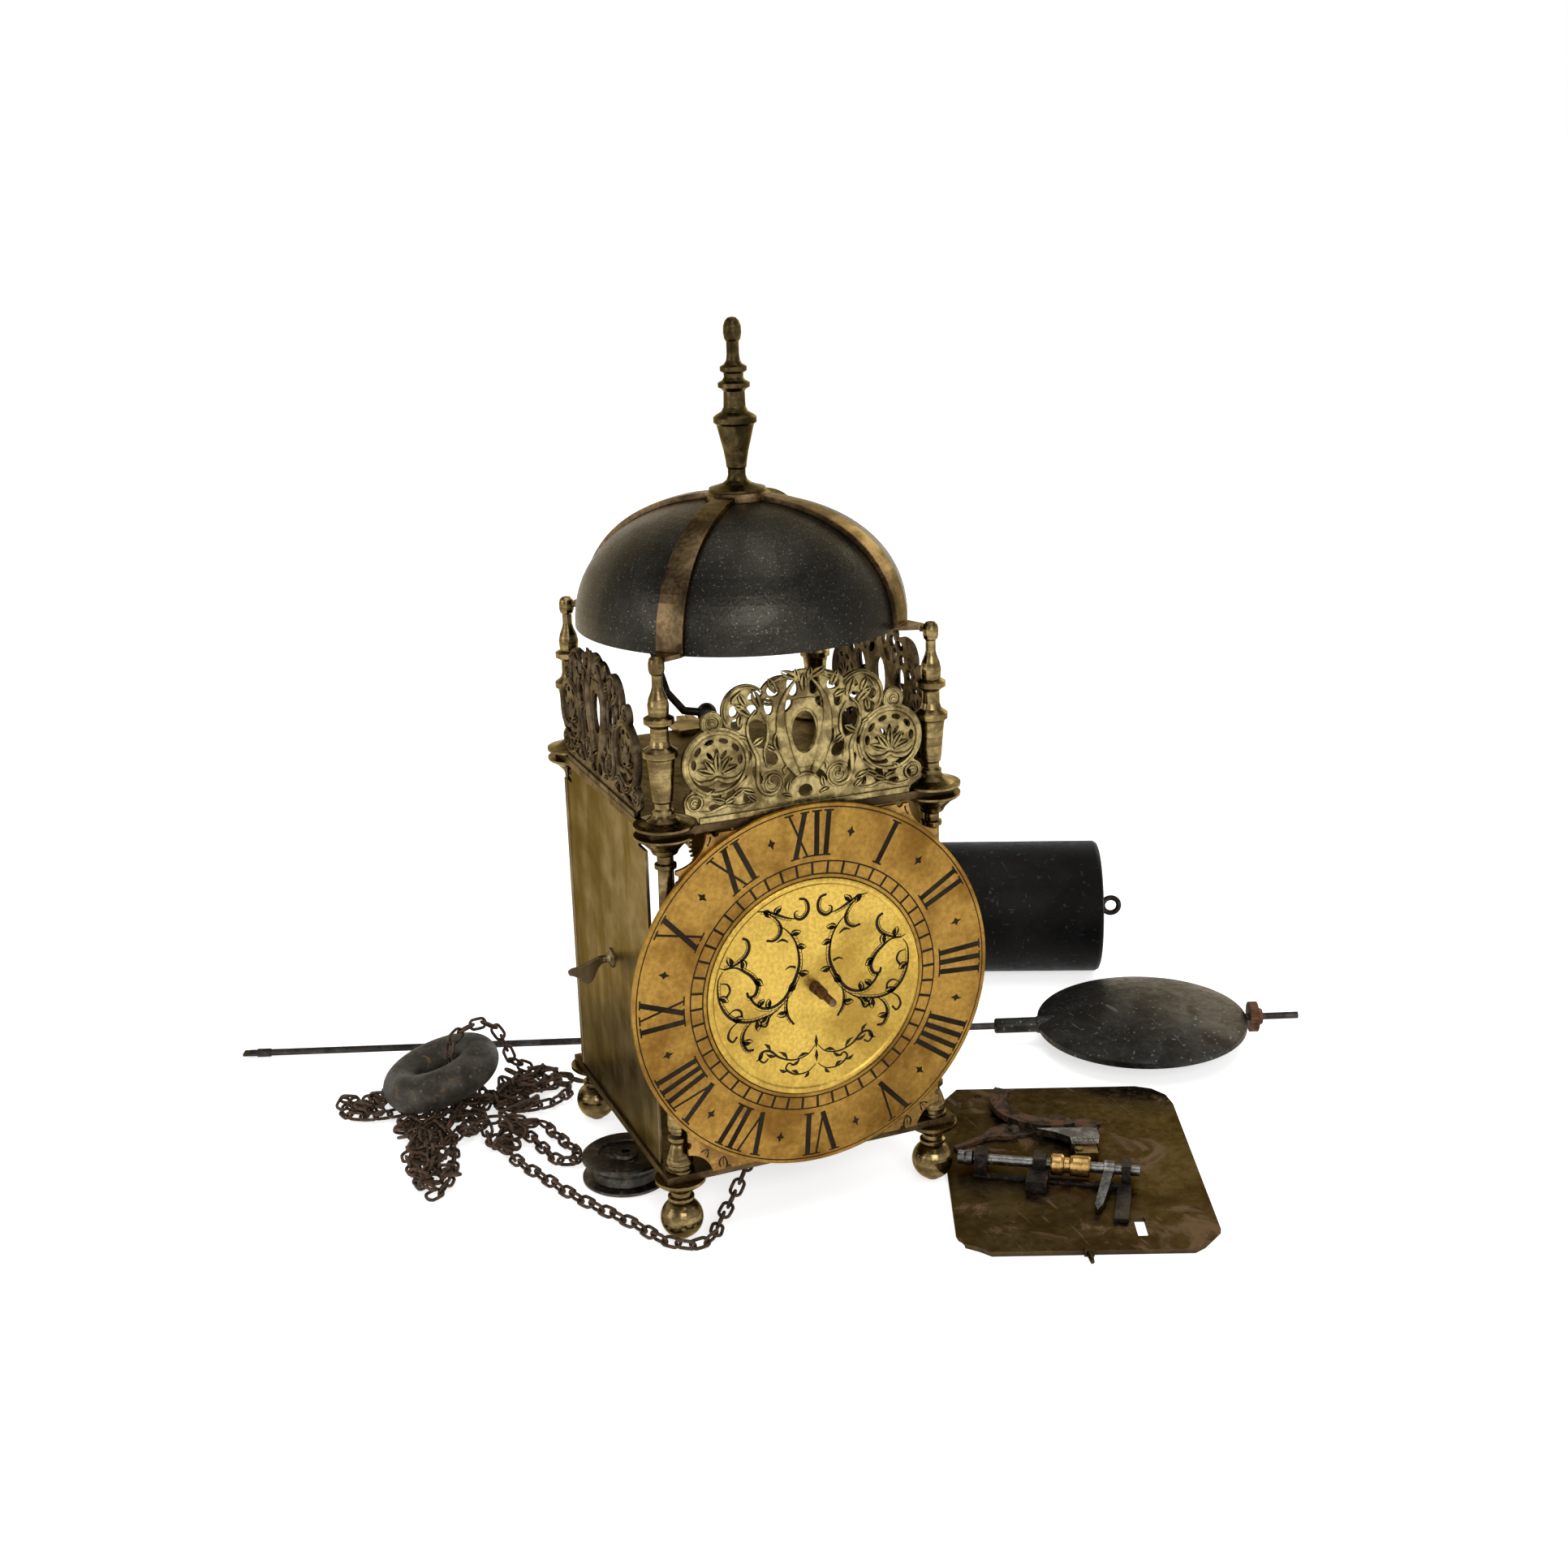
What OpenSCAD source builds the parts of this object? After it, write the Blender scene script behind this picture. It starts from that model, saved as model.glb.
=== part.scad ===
// Lantern clock with posted brass case, bell, pierced frets and its loose pieces.
// Millimetres. Front is -Y, Z is up, the floor is at Z = 0.

/* [Case] */
// Distance between the left and right pillar axes
span_x = 124; // [118:1:132]
// Distance between the front and rear pillar axes
span_y = 126; // [124:1:134]
// Thickness of the top and bottom plates
plate_t = 3.5; // [2.5:0.25:4]
// Clear height between the plates
clear_h = 156.3; // [156:0.1:170]
// Radius of the ball feet
foot_r = 9.6; // [8:0.2:10.5]
// Radius of the pillar shafts at the bottom
pillar_r = 4.7; // [3.8:0.1:4.9]
// Thickness of the doors
door_t = 1.5; // [1:0.25:2]
// Thickness of the pierced frets
fret_t = 1.8; // [1.2:0.2:2.4]

/* [Bell] */
// Outer radius of the bell at its rim
bell_r = 73.6; // [70:0.2:75]
// Height of the bell from rim to crown
bell_h = 53.5; // [50:0.5:60]
// Wall of the bell
bell_t = 2.2; // [1.6:0.2:3]
// Thickness of the strap over the bell
strap_t = 2.4; // [1.6:0.2:3]

/* [Dial] */
// Outer radius of the chapter ring
ring_r = 83.5; // [80:0.5:86]
// Thickness of the chapter ring
ring_t = 2; // [1.5:0.25:3]
// Depth of the engraving on the chapter ring
cut_d = 0.25; // [0.15:0.05:0.5]

/* [Loose pieces] */
// Diameter of the pendulum rod
rod_d = 3.6; // [2.8:0.2:4.4]
// Radius of the pendulum bob
bob_r = 55; // [50:1:60]
// Thickness of the pendulum bob at its middle
bob_t = 24; // [18:1:30]
// Radius of the driving weight
weight_r = 37.5; // [34:0.5:40]
// Length of the driving weight
weight_l = 132; // [100:2:150]
// Outer radius of the lead ring
lead_r = 30; // [28:0.5:31]
// Wire of the chain links
wire_d = 1.6; // [1.2:0.1:1.7]

/* [Hidden] */
$fn = 48;
set_x = -44.5; // the set's footprint is centred on the origin
set_y = -21.1;
hx = span_x / 2;
hy = span_y / 2;
foot_z = 29.5; // underside of the bottom plate
zb = foot_z + plate_t; // upper face of the bottom plate
zt = zb + clear_h; // underside of the top plate
zp = zt + plate_t; // upper face of the top plate
ex = hx + 8; // plate edges
ey = hy + 6.5;
fin_h = 72.9; // corner finial height
zf = zp + fin_h; // top of the corner finials
bell_z = zf - 3.9; // bell rim
run = 0.05; // running clearance, radial
bar_w = 16;
bar_t = 2.8;
yf = -hy + 8; // middle plane of the front bar
yr = hy - 8; // middle plane of the rear bar
// train heights above the bottom plate
z1 = zb + 37;
m1 = 1.15;
z2 = z1 + m1 * 34;
m2 = 1.05;
z3 = z2 + m2 * 32;
esc_r = 24;
z4 = z3 + esc_r * sqrt(2);
zd = 112.3; // dial centre
mh = (zd - z1) / 52;
m3 = 0.75;
z5 = z3 + m3 * 24;
mc = 0.95;
zc = z1 + mc * 28;
lift_x = 46;
lift_z = zb + 96;
hax = -11; // vertical hammer arbor
hay = 20;
dial_y = -ey - 0.6; // back face of the dial plate
dial_pt = 1.8;
ring_y = dial_y - dial_pt; // back face of the chapter ring
ring_in = 50.3;
hook_x = hx + pillar_r + 1.4; // door hinge axis
hook_y = hy - 5.5;
hook_r = 1.0;
pitch = 6.9;
link_w = 6.6;

// Helpers
module set() { translate([set_x, set_y, 0]) children(); }
// a flat shape drawn in X and Z, filling y0 to y0 + t
module upright(y0, t) { translate([0, y0 + t, 0]) rotate([90, 0, 0]) linear_extrude(t) children(); }
// a round bar along Y from y0 to y1
module ybar(x, z, y0, y1, r) { translate([x, y0, z]) rotate([-90, 0, 0]) cylinder(r = r, h = y1 - y0); }
// a round bar between two points
module bar(a, b, r1, r2) {
  d = b - a; l = norm(d);
  translate(a) rotate([0, acos(d[2] / l), atan2(d[1], d[0])]) cylinder(r1 = r1, r2 = r2, h = l);
}
module turned(p) { rotate_extrude() polygon(p); }
function arcp(cx, cy, r, a0, a1, n) = [for (i = [0:n]) let (a = a0 + (a1 - a0) * i / n)
  [cx + r * cos(a), cy + r * sin(a)]];
function ellp(cx, cy, a, b, w, n = 20) = [for (i = [0:n - 1]) let (t = 360 * i / n)
  [cx + a * cos(t) * cos(w) - b * sin(t) * sin(w), cy + a * cos(t) * sin(w) + b * sin(t) * cos(w)]];
function tooth(n, m, i, add, ded, w) = let (p = 360 / n, a = p * i, r = m * n / 2)
  [for (q = [[-ded, -w[0]], [0, -w[1]], [add * 0.6, -w[2]], [add, -w[3]], [add, w[3]],
    [add * 0.6, w[2]], [0, w[1]], [-ded, w[0]]])
    [(r + q[0] * m) * cos(a + q[1] * p), (r + q[0] * m) * sin(a + q[1] * p)]];
function gear(n, m) = [for (i = [0:n - 1]) each tooth(n, m, i, 0.8, 1.25, [0.26, 0.2, 0.14, 0.06])];
function leaf(n, m) = [for (i = [0:n - 1]) each tooth(n, m, i, 0.5, 1.3, [0.12, 0.17, 0.14, 0.06])];
// crossed-out wheel: toothed rim, four arms and a hub
module wheel2d(n, m, hub, arm, rim = 2.6) {
  ri = m * (n / 2 - 1.25) - rim;
  do = asin(arm / 2 / ri); di = asin(arm / 2 / hub);
  difference() {
    polygon(gear(n, m));
    for (q = [0:3]) polygon(concat(arcp(0, 0, ri, 90 * q + do, 90 * q + 90 - do, 12),
      arcp(0, 0, hub, 90 * q + 90 - di, 90 * q + di, 6)));
  }
}
module wheel(z, n, m, y0, t, hub, arm, rim = 2.6) {
  translate([0, 0, z]) upright(y0, t) rotate(45) wheel2d_at(n, m, hub, arm, rim);
}
// teeth stay on the mesh line while the arms stand at 45 degrees
module wheel2d_at(n, m, hub, arm, rim = 2.6) {
  ri = m * (n / 2 - 1.25) - rim;
  do = asin(arm / 2 / ri); di = asin(arm / 2 / hub);
  difference() {
    rotate(-45) polygon(gear(n, m));
    for (q = [0:3]) polygon(concat(arcp(0, 0, ri, 90 * q + do, 90 * q + 90 - do, 12),
      arcp(0, 0, hub, 90 * q + 90 - di, 90 * q + di, 6)));
  }
}
module pinion(z, n, m, y0, t, a = 22.5) {
  translate([0, 0, z]) upright(y0, t) rotate(a) polygon(leaf(n, m));
}

// Case plates
module corners() { for (sx = [-1, 1], sy = [-1, 1]) translate([sx * hx, sy * hy, 0]) children(); }
module plate_blank(z, round_r) {
  difference() {
    translate([-ex, -ey, z]) cube([2 * ex, 2 * ey, plate_t]);
    for (y = [yf, 0, yr]) translate([-3.05, y - bar_t / 2 - 0.05, z - 1]) cube([6.1, bar_t + 0.1,
      plate_t + 2]);
    corners() translate([0, 0, z - 1]) cylinder(r = 2.5, h = plate_t + 2);
    for (s = [-1, 1]) translate([s * hook_x, hook_y, z - 1]) cylinder(r = hook_r + run, h = plate_t + 2);
  }
}
module bottom_plate() { set() color([0.42, 0.28, 0.15]) difference() {
  plate_blank(foot_z);
  for (x = [-12, 12], y = [-34, 41]) translate([x, y, foot_z - 1]) cylinder(r = 5.6, h = plate_t + 2);
  translate([hax, hay, foot_z - 1]) cylinder(r = 1.25, h = plate_t + 2);
} }
module top_plate() { set() color([0.42, 0.28, 0.15]) difference() {
  plate_blank(zt);
  translate([hax, hay, zt - 1]) cylinder(r = 2 + run, h = plate_t + 2);
} }

// Corner castings
module foot_at(sx, sy) { set() color([0.5, 0.38, 0.2]) translate([sx * hx, sy * hy, 0]) {
  turned(concat([[0, 0], [3.2, 0]], [for (a = [-68:8:64]) [foot_r * cos(a), foot_r + foot_r * sin(a)]],
    [[5.0, 18.4], [5.9, 18.9], [5.9, 20.2], [4.5, 20.8], [4.3, 22.6], [5.2, 24.2], [7.4, 25.6],
    [10.2, 26.9], [11.3, 28], [11.3, foot_z], [2.4, foot_z], [2.4, zb + 6], [0, zb + 6]]));
} }
module foot_front_left() foot_at(-1, -1);
module foot_front_right() foot_at(1, -1);
module foot_rear_left() foot_at(-1, 1);
module foot_rear_right() foot_at(1, 1);
module pillar_at(sx, sy) {
  k = pillar_r / 4.7;
  h = zt - zb;
  set() color([0.5, 0.38, 0.2]) translate([sx * hx, sy * hy, zb]) difference() {
    turned([[0, 0], [6.4, 0], [6.4, 1.4], [5.6, 1.8], [5.6, 3.4], [6.1, 4], [5.9, 6], [4.9, 9], [3.9, 11.6],
      [3.3, 13], [3.6, 13.6], [4.9, 15], [4.9, 16.6], [3.4, 18], [3.4, 19], [4.4, 19.6], [4.4, 21.4],
      [pillar_r, 22], [4.4 * k, 60], [3.9 * k, 100], [3.4 * k, h - 17], [3.4, h - 15.6], [4.7, h - 15],
      [4.7, h - 13.2], [3.5, h - 12.6], [3.5, h - 9.6], [5.4, h - 8.4], [6.4, h - 6.4], [9.2, h - 3.4],
      [12.4, h - 1.4], [12.9, h - 0.9], [12.9, h], [0, h]]);
    translate([0, 0, -1]) cylinder(r = 2.45, h = 7.3);
    translate([0, 0, h - 6.3]) cylinder(r = 2.45, h = 7.3);
    if (sy > 0) translate([sx * (hook_x - hx), hook_y - hy, h - 9]) cylinder(r = hook_r + run, h = 10);
  }
}
module pillar_front_left() pillar_at(-1, -1);
module pillar_front_right() pillar_at(1, -1);
module pillar_rear_left() pillar_at(-1, 1);
module pillar_rear_right() pillar_at(1, 1);
module finial_at(sx, sy) { set() color([0.5, 0.38, 0.2]) translate([sx * hx, sy * hy, zp]) difference() {
  turned([[0, -plate_t - 6], [2.4, -plate_t - 6], [2.4, 0], [12.9, 0], [12.9, 1.1], [10.4, 1.6], [7.2, 2.7],
    [5.3, 4.1], [4.5, 5.4], [4.6, 7], [3.6, 8], [3.6, 10.2], [4.3, 11], [4.7, 14], [5.1, 20], [5.7, 27],
    [6.1, 29.4], [7.3, 30.2], [7.3, 32.6], [6.2, 33.4], [4.6, 34.6], [3.9, 37], [3.8, 42.4], [5, 43.6],
    [6.4, 44.4], [6.4, 46.6], [4.2, 47.8], [4.4, 50], [4.5, 52.2], [3.9, 55], [2.7, 58], [2.2, 60],
    [2.2, 64.6], [3, 65.4], [3.4, 67], [3.4, 69.6], [3, 71.4], [2, 72.5], [0, fin_h]]);
  rotate([0, 0, atan2(-sy * hy, -sx * hx)]) translate([0.9, 0, fin_h - 3.9]) rotate([0, 90, 0])
    cylinder(r = 1.05, h = 5);
} }
module finial_front_left() finial_at(-1, -1);
module finial_front_right() finial_at(1, -1);
module finial_rear_left() finial_at(-1, 1);
module finial_rear_right() finial_at(1, 1);

// Pierced frets: two dolphins around an oval opening, flowers, leaves and scrolls
function cut(x, z, a, b, w = 0) = [[x, z, a, b, w], [-x, z, a, b, -w]];
fret_cuts = concat([[0, 33.6, 5.6, 9.2, 0], [0, 7.8, 3.2, 2.8, 0]],
  cut(5, 53.6, 2.4, 4.2, -14), cut(13.6, 53, 3, 2.5, 20), cut(21.6, 52.2, 3.6, 1.8, -16),
  cut(15.8, 46.6, 2, 3.8, -8), cut(31.4, 46.4, 2, 2.4), cut(30.2, 40.6, 2.7, 2.4, 40),
  cut(23.2, 46, 2.6, 2.2, 30), cut(20.6, 35.4, 4.6, 6.7, -22), cut(8.2, 45.6, 3.6, 2, -38),
  cut(25.4, 26.9, 1.5, 2.1, -14), cut(15.6, 24.2, 3.8, 2.9, 40), cut(21.6, 17.6, 1.7, 4.1, -24),
  cut(7.4, 13.6, 1.7, 3.8, 38), cut(46.2, 15.6, 4.8, 1.2, 24), cut(32.6, 16.6, 6.4, 1.7, -14),
  cut(34, 9.8, 2.2, 3.8, 8), cut(41, 6.2, 2.8, 1.6, 10), cut(40.4, 11.4, 2.3, 1.1, 12),
  cut(26.4, 9.4, 1.7, 3.2, 20), cut(47.6, 8.8, 1.7, 2.5, 20));
module fret2d() {
  difference() {
    union() {
      polygon([[-48.4, 0], [48.4, 0], [49.6, 3], [54.2, 5.4], [54.4, 10], [50, 16], [30, 46], [-30, 46],
        [-50, 16], [-54.4, 10], [-54.2, 5.4], [-49.6, 3]]);
      translate([-27, 20]) square([54, 32]);
      for (s = [-1, 1]) {
        translate([s * 39.4, 25.4]) circle(r = 15.4);
        translate([s * 41.2, 42.8]) circle(r = 4.9);
        translate([s * 26, 46.4]) circle(r = 10.8);
        translate([s * 10, 48.6]) circle(r = 10.4);
        translate([s * 50, 9.6]) circle(r = 4.6);
      }
      translate([0, 47]) circle(r = 13.6);
    }
    for (c = fret_cuts) polygon(ellp(c[0], c[1], c[2], c[3], c[4], 18));
    for (s = [-1, 1]) {
      for (a = [0, 36, 72, 108, 144, 180]) polygon(ellp(s * 39.4 + 10.3 * cos(a), 25.8 + 9.2 * sin(a),
        2.2, 1.15, a + 90, 14));
      for (a = [18, 54, 90, 126, 162]) polygon(ellp(s * 39.4 + 5.2 * cos(a), 24.4 + 5.2 * sin(a),
        2.2, 0.85, a, 12));
    }
  }
}
// raised work on the face: dolphin bodies, flower heads, rosettes and a moulded base
module fret_relief() {
  for (s = [-1, 1]) {
    difference() {
      polygon(ellp(s * 0.8, 33.4, 11.4, 15.2, -s * 8, 36));
      polygon(ellp(-s * 0.6, 34.2, 6.6, 10, -s * 8, 36));
      translate([s > 0 ? -40 : 0, 0]) square([40, 60]);
      polygon(ellp(0, 33.6, 5.6, 9.2, 0, 18));
      polygon(ellp(s * 8.2, 45.6, 2.5, 1.4, -s * 38, 18));
    }
    for (r = [[5.6, 4.7], [3.4, 2.6]]) translate([s * 15.2,
      13]) difference() { circle(r = r[0]); circle(r = r[1]); }
    translate([s * 15.2, 13]) circle(r = 1.3);
    translate([s * 39.4, 25.4]) difference() { circle(r = 15.2); circle(r = 13.6); }
    translate([s * 41.2, 42.8]) difference() { circle(r = 4.6); circle(r = 3.7); }
    translate([s * 41.2, 42.8]) circle(r = 1.6);
    translate([s * 50, 9.6]) circle(r = 1.8);
  }
}
module fret(y0) {
  upright(y0, fret_t) fret2d();
  upright(y0 - 0.5, 0.6) intersection() { fret_relief(); fret2d(); }
  translate([-48.2, y0 - 0.8, 0.2]) cube([96.4, 0.9, 2.4]);
}
module front_fret() { set() color([0.72, 0.6, 0.3]) translate([0, 0, zp]) fret(-ey + 0.9); }
module left_fret() { set() color([0.34, 0.23, 0.14]) translate([0, 0, zp]) rotate([0, 0,
  -90]) fret(-ex + 0.9); }
module right_fret() { set() color([0.34, 0.23, 0.14]) translate([0, 0, zp]) rotate([0, 0,
  90]) fret(-ex + 0.9); }

// Bell and strap
function dome(r, h, a0, a1, n) = [for (i = [0:n]) let (a = a0 + (a1 - a0) * i / n)
  [max(0, r * pow(cos(a), 0.92)), h * pow(sin(a), 0.92)]];
crown = bell_z + bell_h;
module bell() { set() color([0.24, 0.22, 0.2]) translate([0, 0, bell_z]) difference() {
  turned(concat([[0, bell_h - bell_t]], [for (i = [22:-1:0]) let (p = dome(bell_r - bell_t,
    bell_h - bell_t, 0, 90, 22)[i]) p],
    [for (i = [0:22]) dome(bell_r, bell_h, 0, 90, 22)[i]]));
  translate([0, 0, bell_h - 10]) cylinder(r = 3.1, h = 20);
} }
module strap_arms() {
  a = atan2(hy, hx);
  intersection() {
    translate([0, 0, bell_z]) turned(concat(
      [for (p = dome(bell_r + 0.15, bell_h + 0.15, 1.2, 86, 22)) p],
      [for (i = [22:-1:0]) dome(bell_r + 0.15 + strap_t, bell_h + 0.15 + strap_t, 1.2, 86, 22)[i]]));
    translate([0, 0, bell_z - 5]) linear_extrude(bell_h + 20) for (q = [a, 180 - a, -a, a - 180]) rotate(q)
      polygon([[3, -4.2], [30, -5], [bell_r + 8, -6.2], [bell_r + 8, 6.2], [30, 5], [3, 4.2]]);
  }
  for (q = [a, 180 - a, -a, a - 180]) rotate([0, 0, q]) {
    r0 = bell_r + 0.3; r1 = norm([hx, hy]) - 3.75;
    translate([0, 0, bell_z + 0.2]) linear_extrude(2)
      polygon([[r0 + 0.1, -6], [r0 + 3.4, -5.6], [r1, -2.2], [r1, 2.2], [r0 + 3.4, 5.6], [r0 + 0.1, 6]]);
    translate([r1 - 1, 0, bell_z + 1.2 - 1.2]) rotate([0, 90, 0]) cylinder(r = 1, h = 2.9);
  }
}
module bell_strap() { set() color([0.36, 0.26, 0.16]) difference() {
  union() {
    strap_arms();
    translate([0, 0, crown + 0.15]) turned([[0, 0], [8, 0], [14.4, -1.2], [14.4, 1.4], [12.8, 2.8], [0,
      2.8]]);
  }
  translate([0, 0, bell_z - 1]) turned(concat([[0, 0]], dome(bell_r + 0.1, bell_h + 1.1, 0, 90, 30)));
  translate([0, 0, crown - 5]) cylinder(r = 3.1, h = 20);
} }
top_z = crown + 2.95; // seat of the bell finial
module bell_finial() { set() color([0.5, 0.38, 0.2]) translate([0, 0, top_z]) turned([[0, -12], [3, -12],
  [3, 0], [12.4, 0], [12.4, 1.2], [10.2, 1.8], [6.6, 3], [4.6, 4.6], [3.9, 6.6], [3.9, 9.4], [4.4, 10.2],
  [4.7, 13], [5.4, 17], [6.4, 21], [7.9, 27.4], [8.2, 28.4], [9.4, 29.4], [9.4, 31.6], [8.2, 32.6],
  [5.8, 34], [4.8, 36], [4.6, 42.6], [5.6, 43.6], [6.9, 44.4], [6.9, 46.2], [5, 47.2], [4.2, 48.6],
  [4.3, 50.2], [5.8, 51.2], [5.8, 53], [4, 54], [3, 55.6], [2.7, 58], [2.7, 63.4], [3.5, 64.6], [3.9, 67],
  [3.8, 70], [3, 72.2], [1.8, 73.4], [0, 73.8]]); }
module bell_nut() { set() color([0.4, 0.3, 0.18]) difference() {
  translate([0, 0, crown - bell_t - 4.3]) linear_extrude(4) circle(r = 6, $fn = 6);
  translate([0, 0, crown - 20]) cylinder(r = 3 + run, h = 30);
} }

// Dial
module dial_plate() {
  zm0 = zb + 0.3; zm1 = zt - 0.3;
  set() color([0.62, 0.45, 0.18]) difference() {
    upright(dial_y - dial_pt, dial_pt) difference() {
      translate([-hx + 1.4, zm0]) square([2 * hx - 2.8, zm1 - zm0]);
      for (s = [-1, 1]) {
        translate([s * hx, zt + 1]) circle(r = 15.4);
        translate([s * hx, zb - 2]) circle(r = 12.5);
        for (e = [[zm1 - 17.5, 1], [zm0 + 14.6, -1]]) translate([s * (hx - 1.4), e[0]]) circle(r = 1.6);
        for (e = [zm1, zm0]) translate([s * (hx - 19.5), e]) circle(r = 1.6);
      }
    }
    ybar(0, zd, dial_y - 5, dial_y + 5, 2.6 + run);
    for (x = [-40, 40], z = [-40, 40]) ybar(x, zd + z, dial_y - 5, dial_y + 5, 1.6);
  }
}
function pol(r, a) = [r * sin(a), r * cos(a)];
// one engraved stroke of a numeral from inner to outer radius, with serifs
module stroke(a0, a1, w, r0, r1) {
  p = pol(r0, a0); q = pol(r1, a1); d = (q - p) / norm(q - p); n = [-d[1], d[0]] * w / 2;
  polygon([p + n, q + n, q - n, p - n]);
}
module serif(a, r, w) { p = pol(r, a); t = [cos(a), -sin(a)] * w / 2; n = pol(0.35, a);
  polygon([p - t - n, p + t - n, p + t + n, p - t + n]); }
module vee(a, h, r0, r1) { // a V: broad and narrow stroke meeting at the inner radius
  stroke(a + h, a - h * 0.1, 1.0, r1, r0); stroke(a - h, a, 2.4, r1, r0); serif(a + h, r1,
    4); serif(a - h, r1, 5);
}
module ray_i(a, r0, r1) { stroke(a, a, 2.4, r0, r1); serif(a, r0, 4.6); serif(a, r1, 4.6); }
module ex(a, h, r0, r1) { stroke(a - h, a + h, 2.4, r0, r1); stroke(a + h, a - h, 1, r0, r1);
  for (s = [-h, h]) { serif(a + s, r0, 4.2); serif(a + s, r1, 4.2); } }
// numerals read from the centre outwards; each entry is a list of [kind, angle offset]
numerals = [[[0, 0]], [[0, -2.1], [0, 2.1]], [[0, -4.2], [0, 0], [0, 4.2]], [[0, -6], [0, -2], [0, 2],
  [0, 6]],
  [[1, 0]], [[1, -2.2], [0, 4]], [[1, -4.4], [0, 2], [0, 6]], [[1, -6.2], [0, -0.2], [0, 3.6], [0, 7.4]],
  [[0, -4.2], [2, 2.2]], [[2, 0]], [[2, -2.4], [0, 4.2]], [[2, -4.6], [0, 2], [0, 6]]];
module engraving() {
  r0 = 60.5; r1 = ring_r - 3.2;
  for (h = [1:12], g = numerals[h - 1]) {
    a = 30 * h + g[1];
    if (g[0] == 0) ray_i(a, r0, r1);
    if (g[0] == 1) vee(a, 3.2, r0, r1);
    if (g[0] == 2) ex(a, 2.6, r0, r1);
  }
  for (h = [0:11]) { p = pol(71, 30 * h + 15); a = 30 * h + 15; u = pol(2.8, a); t = [cos(a),
    -sin(a)] * 1.9;
    polygon([p + u, p + (u + t) * 0.34, p + t, p + (t - u) * 0.34, p - u, p - (u + t) * 0.34, p - t,
      p + (u - t) * 0.34]); }
  difference() { circle(r = ring_r - 1.5); circle(r = ring_r - 2); }
  difference() { circle(r = 57.9); circle(r = 57.3); }
  difference() { circle(r = 52.3); circle(r = 51.7); }
  for (k = [0:47]) { p = pol(52.2, 7.5 * k); q = pol(57.4, 7.5 * k); n = [cos(7.5 * k),
    -sin(7.5 * k)] * 0.55;
    polygon([p + n, q + n, q - n, p - n]); }
}
module chapter_ring() { set() color([0.6, 0.42, 0.18]) {
  difference() {
    upright(ring_y - ring_t, ring_t) translate([0, zd]) difference() { circle(r = ring_r, $fn = 96);
      circle(r = ring_in, $fn = 96); }
    upright(ring_y - ring_t - 1, 1 + cut_d) translate([0, zd]) engraving();
  }
  for (x = [-40, 40], z = [-40, 40]) ybar(x, zd + z, ring_y - 0.5, dial_y + 1.4, 1.5);
} }
module dial_centre() { set() color([0.78, 0.6, 0.2]) difference() {
  translate([0, ring_y, zd]) rotate([90, 0, 0]) turned([[0, 0], [ring_in - 0.15, 0], [ring_in - 0.15, 1.6],
    [ring_in - 0.5, 2.4], [ring_in - 1.4, 2.7], [ring_in - 2.6, 2.5], [ring_in - 3.4, 1.9], [0, 1.9]]);
  ybar(0, zd, ring_y - 5, ring_y + 1, 2.6 + run);
} }
hand_y = -93; // tip of the hand arbor
wheel_y = yf - bar_t / 2 - 5.8; // front face of the hour wheel
module hour_wheel() { set() color([0.5, 0.4, 0.24]) difference() {
  union() {
    translate([0, 0, zd]) upright(wheel_y, 1.4) rotate(1.875) wheel2d(96, mh, 14, 4.4, 3);
    ybar(0, zd, hand_y + 15, yf - bar_t / 2 - 0.3, 2.6);
    ybar(0, zd, yf - bar_t / 2 - 0.4, yf - bar_t / 2 + 1, 1.0);
    translate([-1.75, hand_y + 9, zd - 1.75]) cube([3.5, 6.1, 3.5]);
    ybar(0, zd, hand_y, hand_y + 9.1, 1.75);
    ybar(0, zd, wheel_y + 1.3, wheel_y + 2.4, 5);
    translate([0, 0, zd]) upright(wheel_y + 1.3, 1.1) polygon([for (k = [0:23]) let (r = k % 2 == 0 ?
      12.8 : 9.6) [r * cos(15 * k), r * sin(15 * k)]]);
  }
  translate([0, hand_y + 2, zd - 5]) cylinder(r = 0.6, h = 10);
} }

// Doors on pins at their rear edges, each with a turned-over leaf handle
module door(s) {
  x0 = hook_x - door_t / 2; ze = zt - 0.6; zs = zb + 0.8;
  set() color([0.55, 0.45, 0.28]) mirror([s < 0 ? 1 : 0, 0, 0]) {
    difference() {
      translate([x0, -hy + 6.6, zs]) cube([door_t, hook_y + hy - 6.6, ze - zs]);
      for (q = [[-hy, 14.9], [hy, 14.9]]) translate([x0 - 1, q[0] - q[1], zt - 8.8]) cube([door_t + 2,
        2 * q[1], 20]);
      translate([x0 - 1, hook_y - 1.4, zs - 1]) cube([door_t + 2, 5, zt]);
    }
    translate([hook_x, hook_y, zs]) cylinder(r = 1.5, h = zt - 8.8 - zs);
    translate([hook_x, hook_y, foot_z + 0.6]) cylinder(r = hook_r, h = zp - foot_z - 0.9);
    translate([x0 + door_t - 0.2, 0, 111]) rotate([0, 90, 0]) turned([[0, 0], [4.6, 0], [4.6, 0.9], [3,
      1.6], [1.7, 2.6],
      [1.5, 4.4], [0, 4.4]]);
    translate([x0 + door_t, 1.1, 111]) rotate([90, 0, 0]) linear_extrude(2.2) polygon([[3.4, 1.5], [6, 1.3],
      [9.5, 0.2], [13, -1.2], [16.5, -2], [19, -2.2], [20.6, -3.2], [20.4, -4.8], [18.6, -5.4], [16.6,
        -6.6],
      [14.6, -9.2], [12.2, -10.4], [10, -9.6], [8.6, -7.2], [7, -3.8], [5, -1.8], [3.4, -1.5]]);
  }
}
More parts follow.
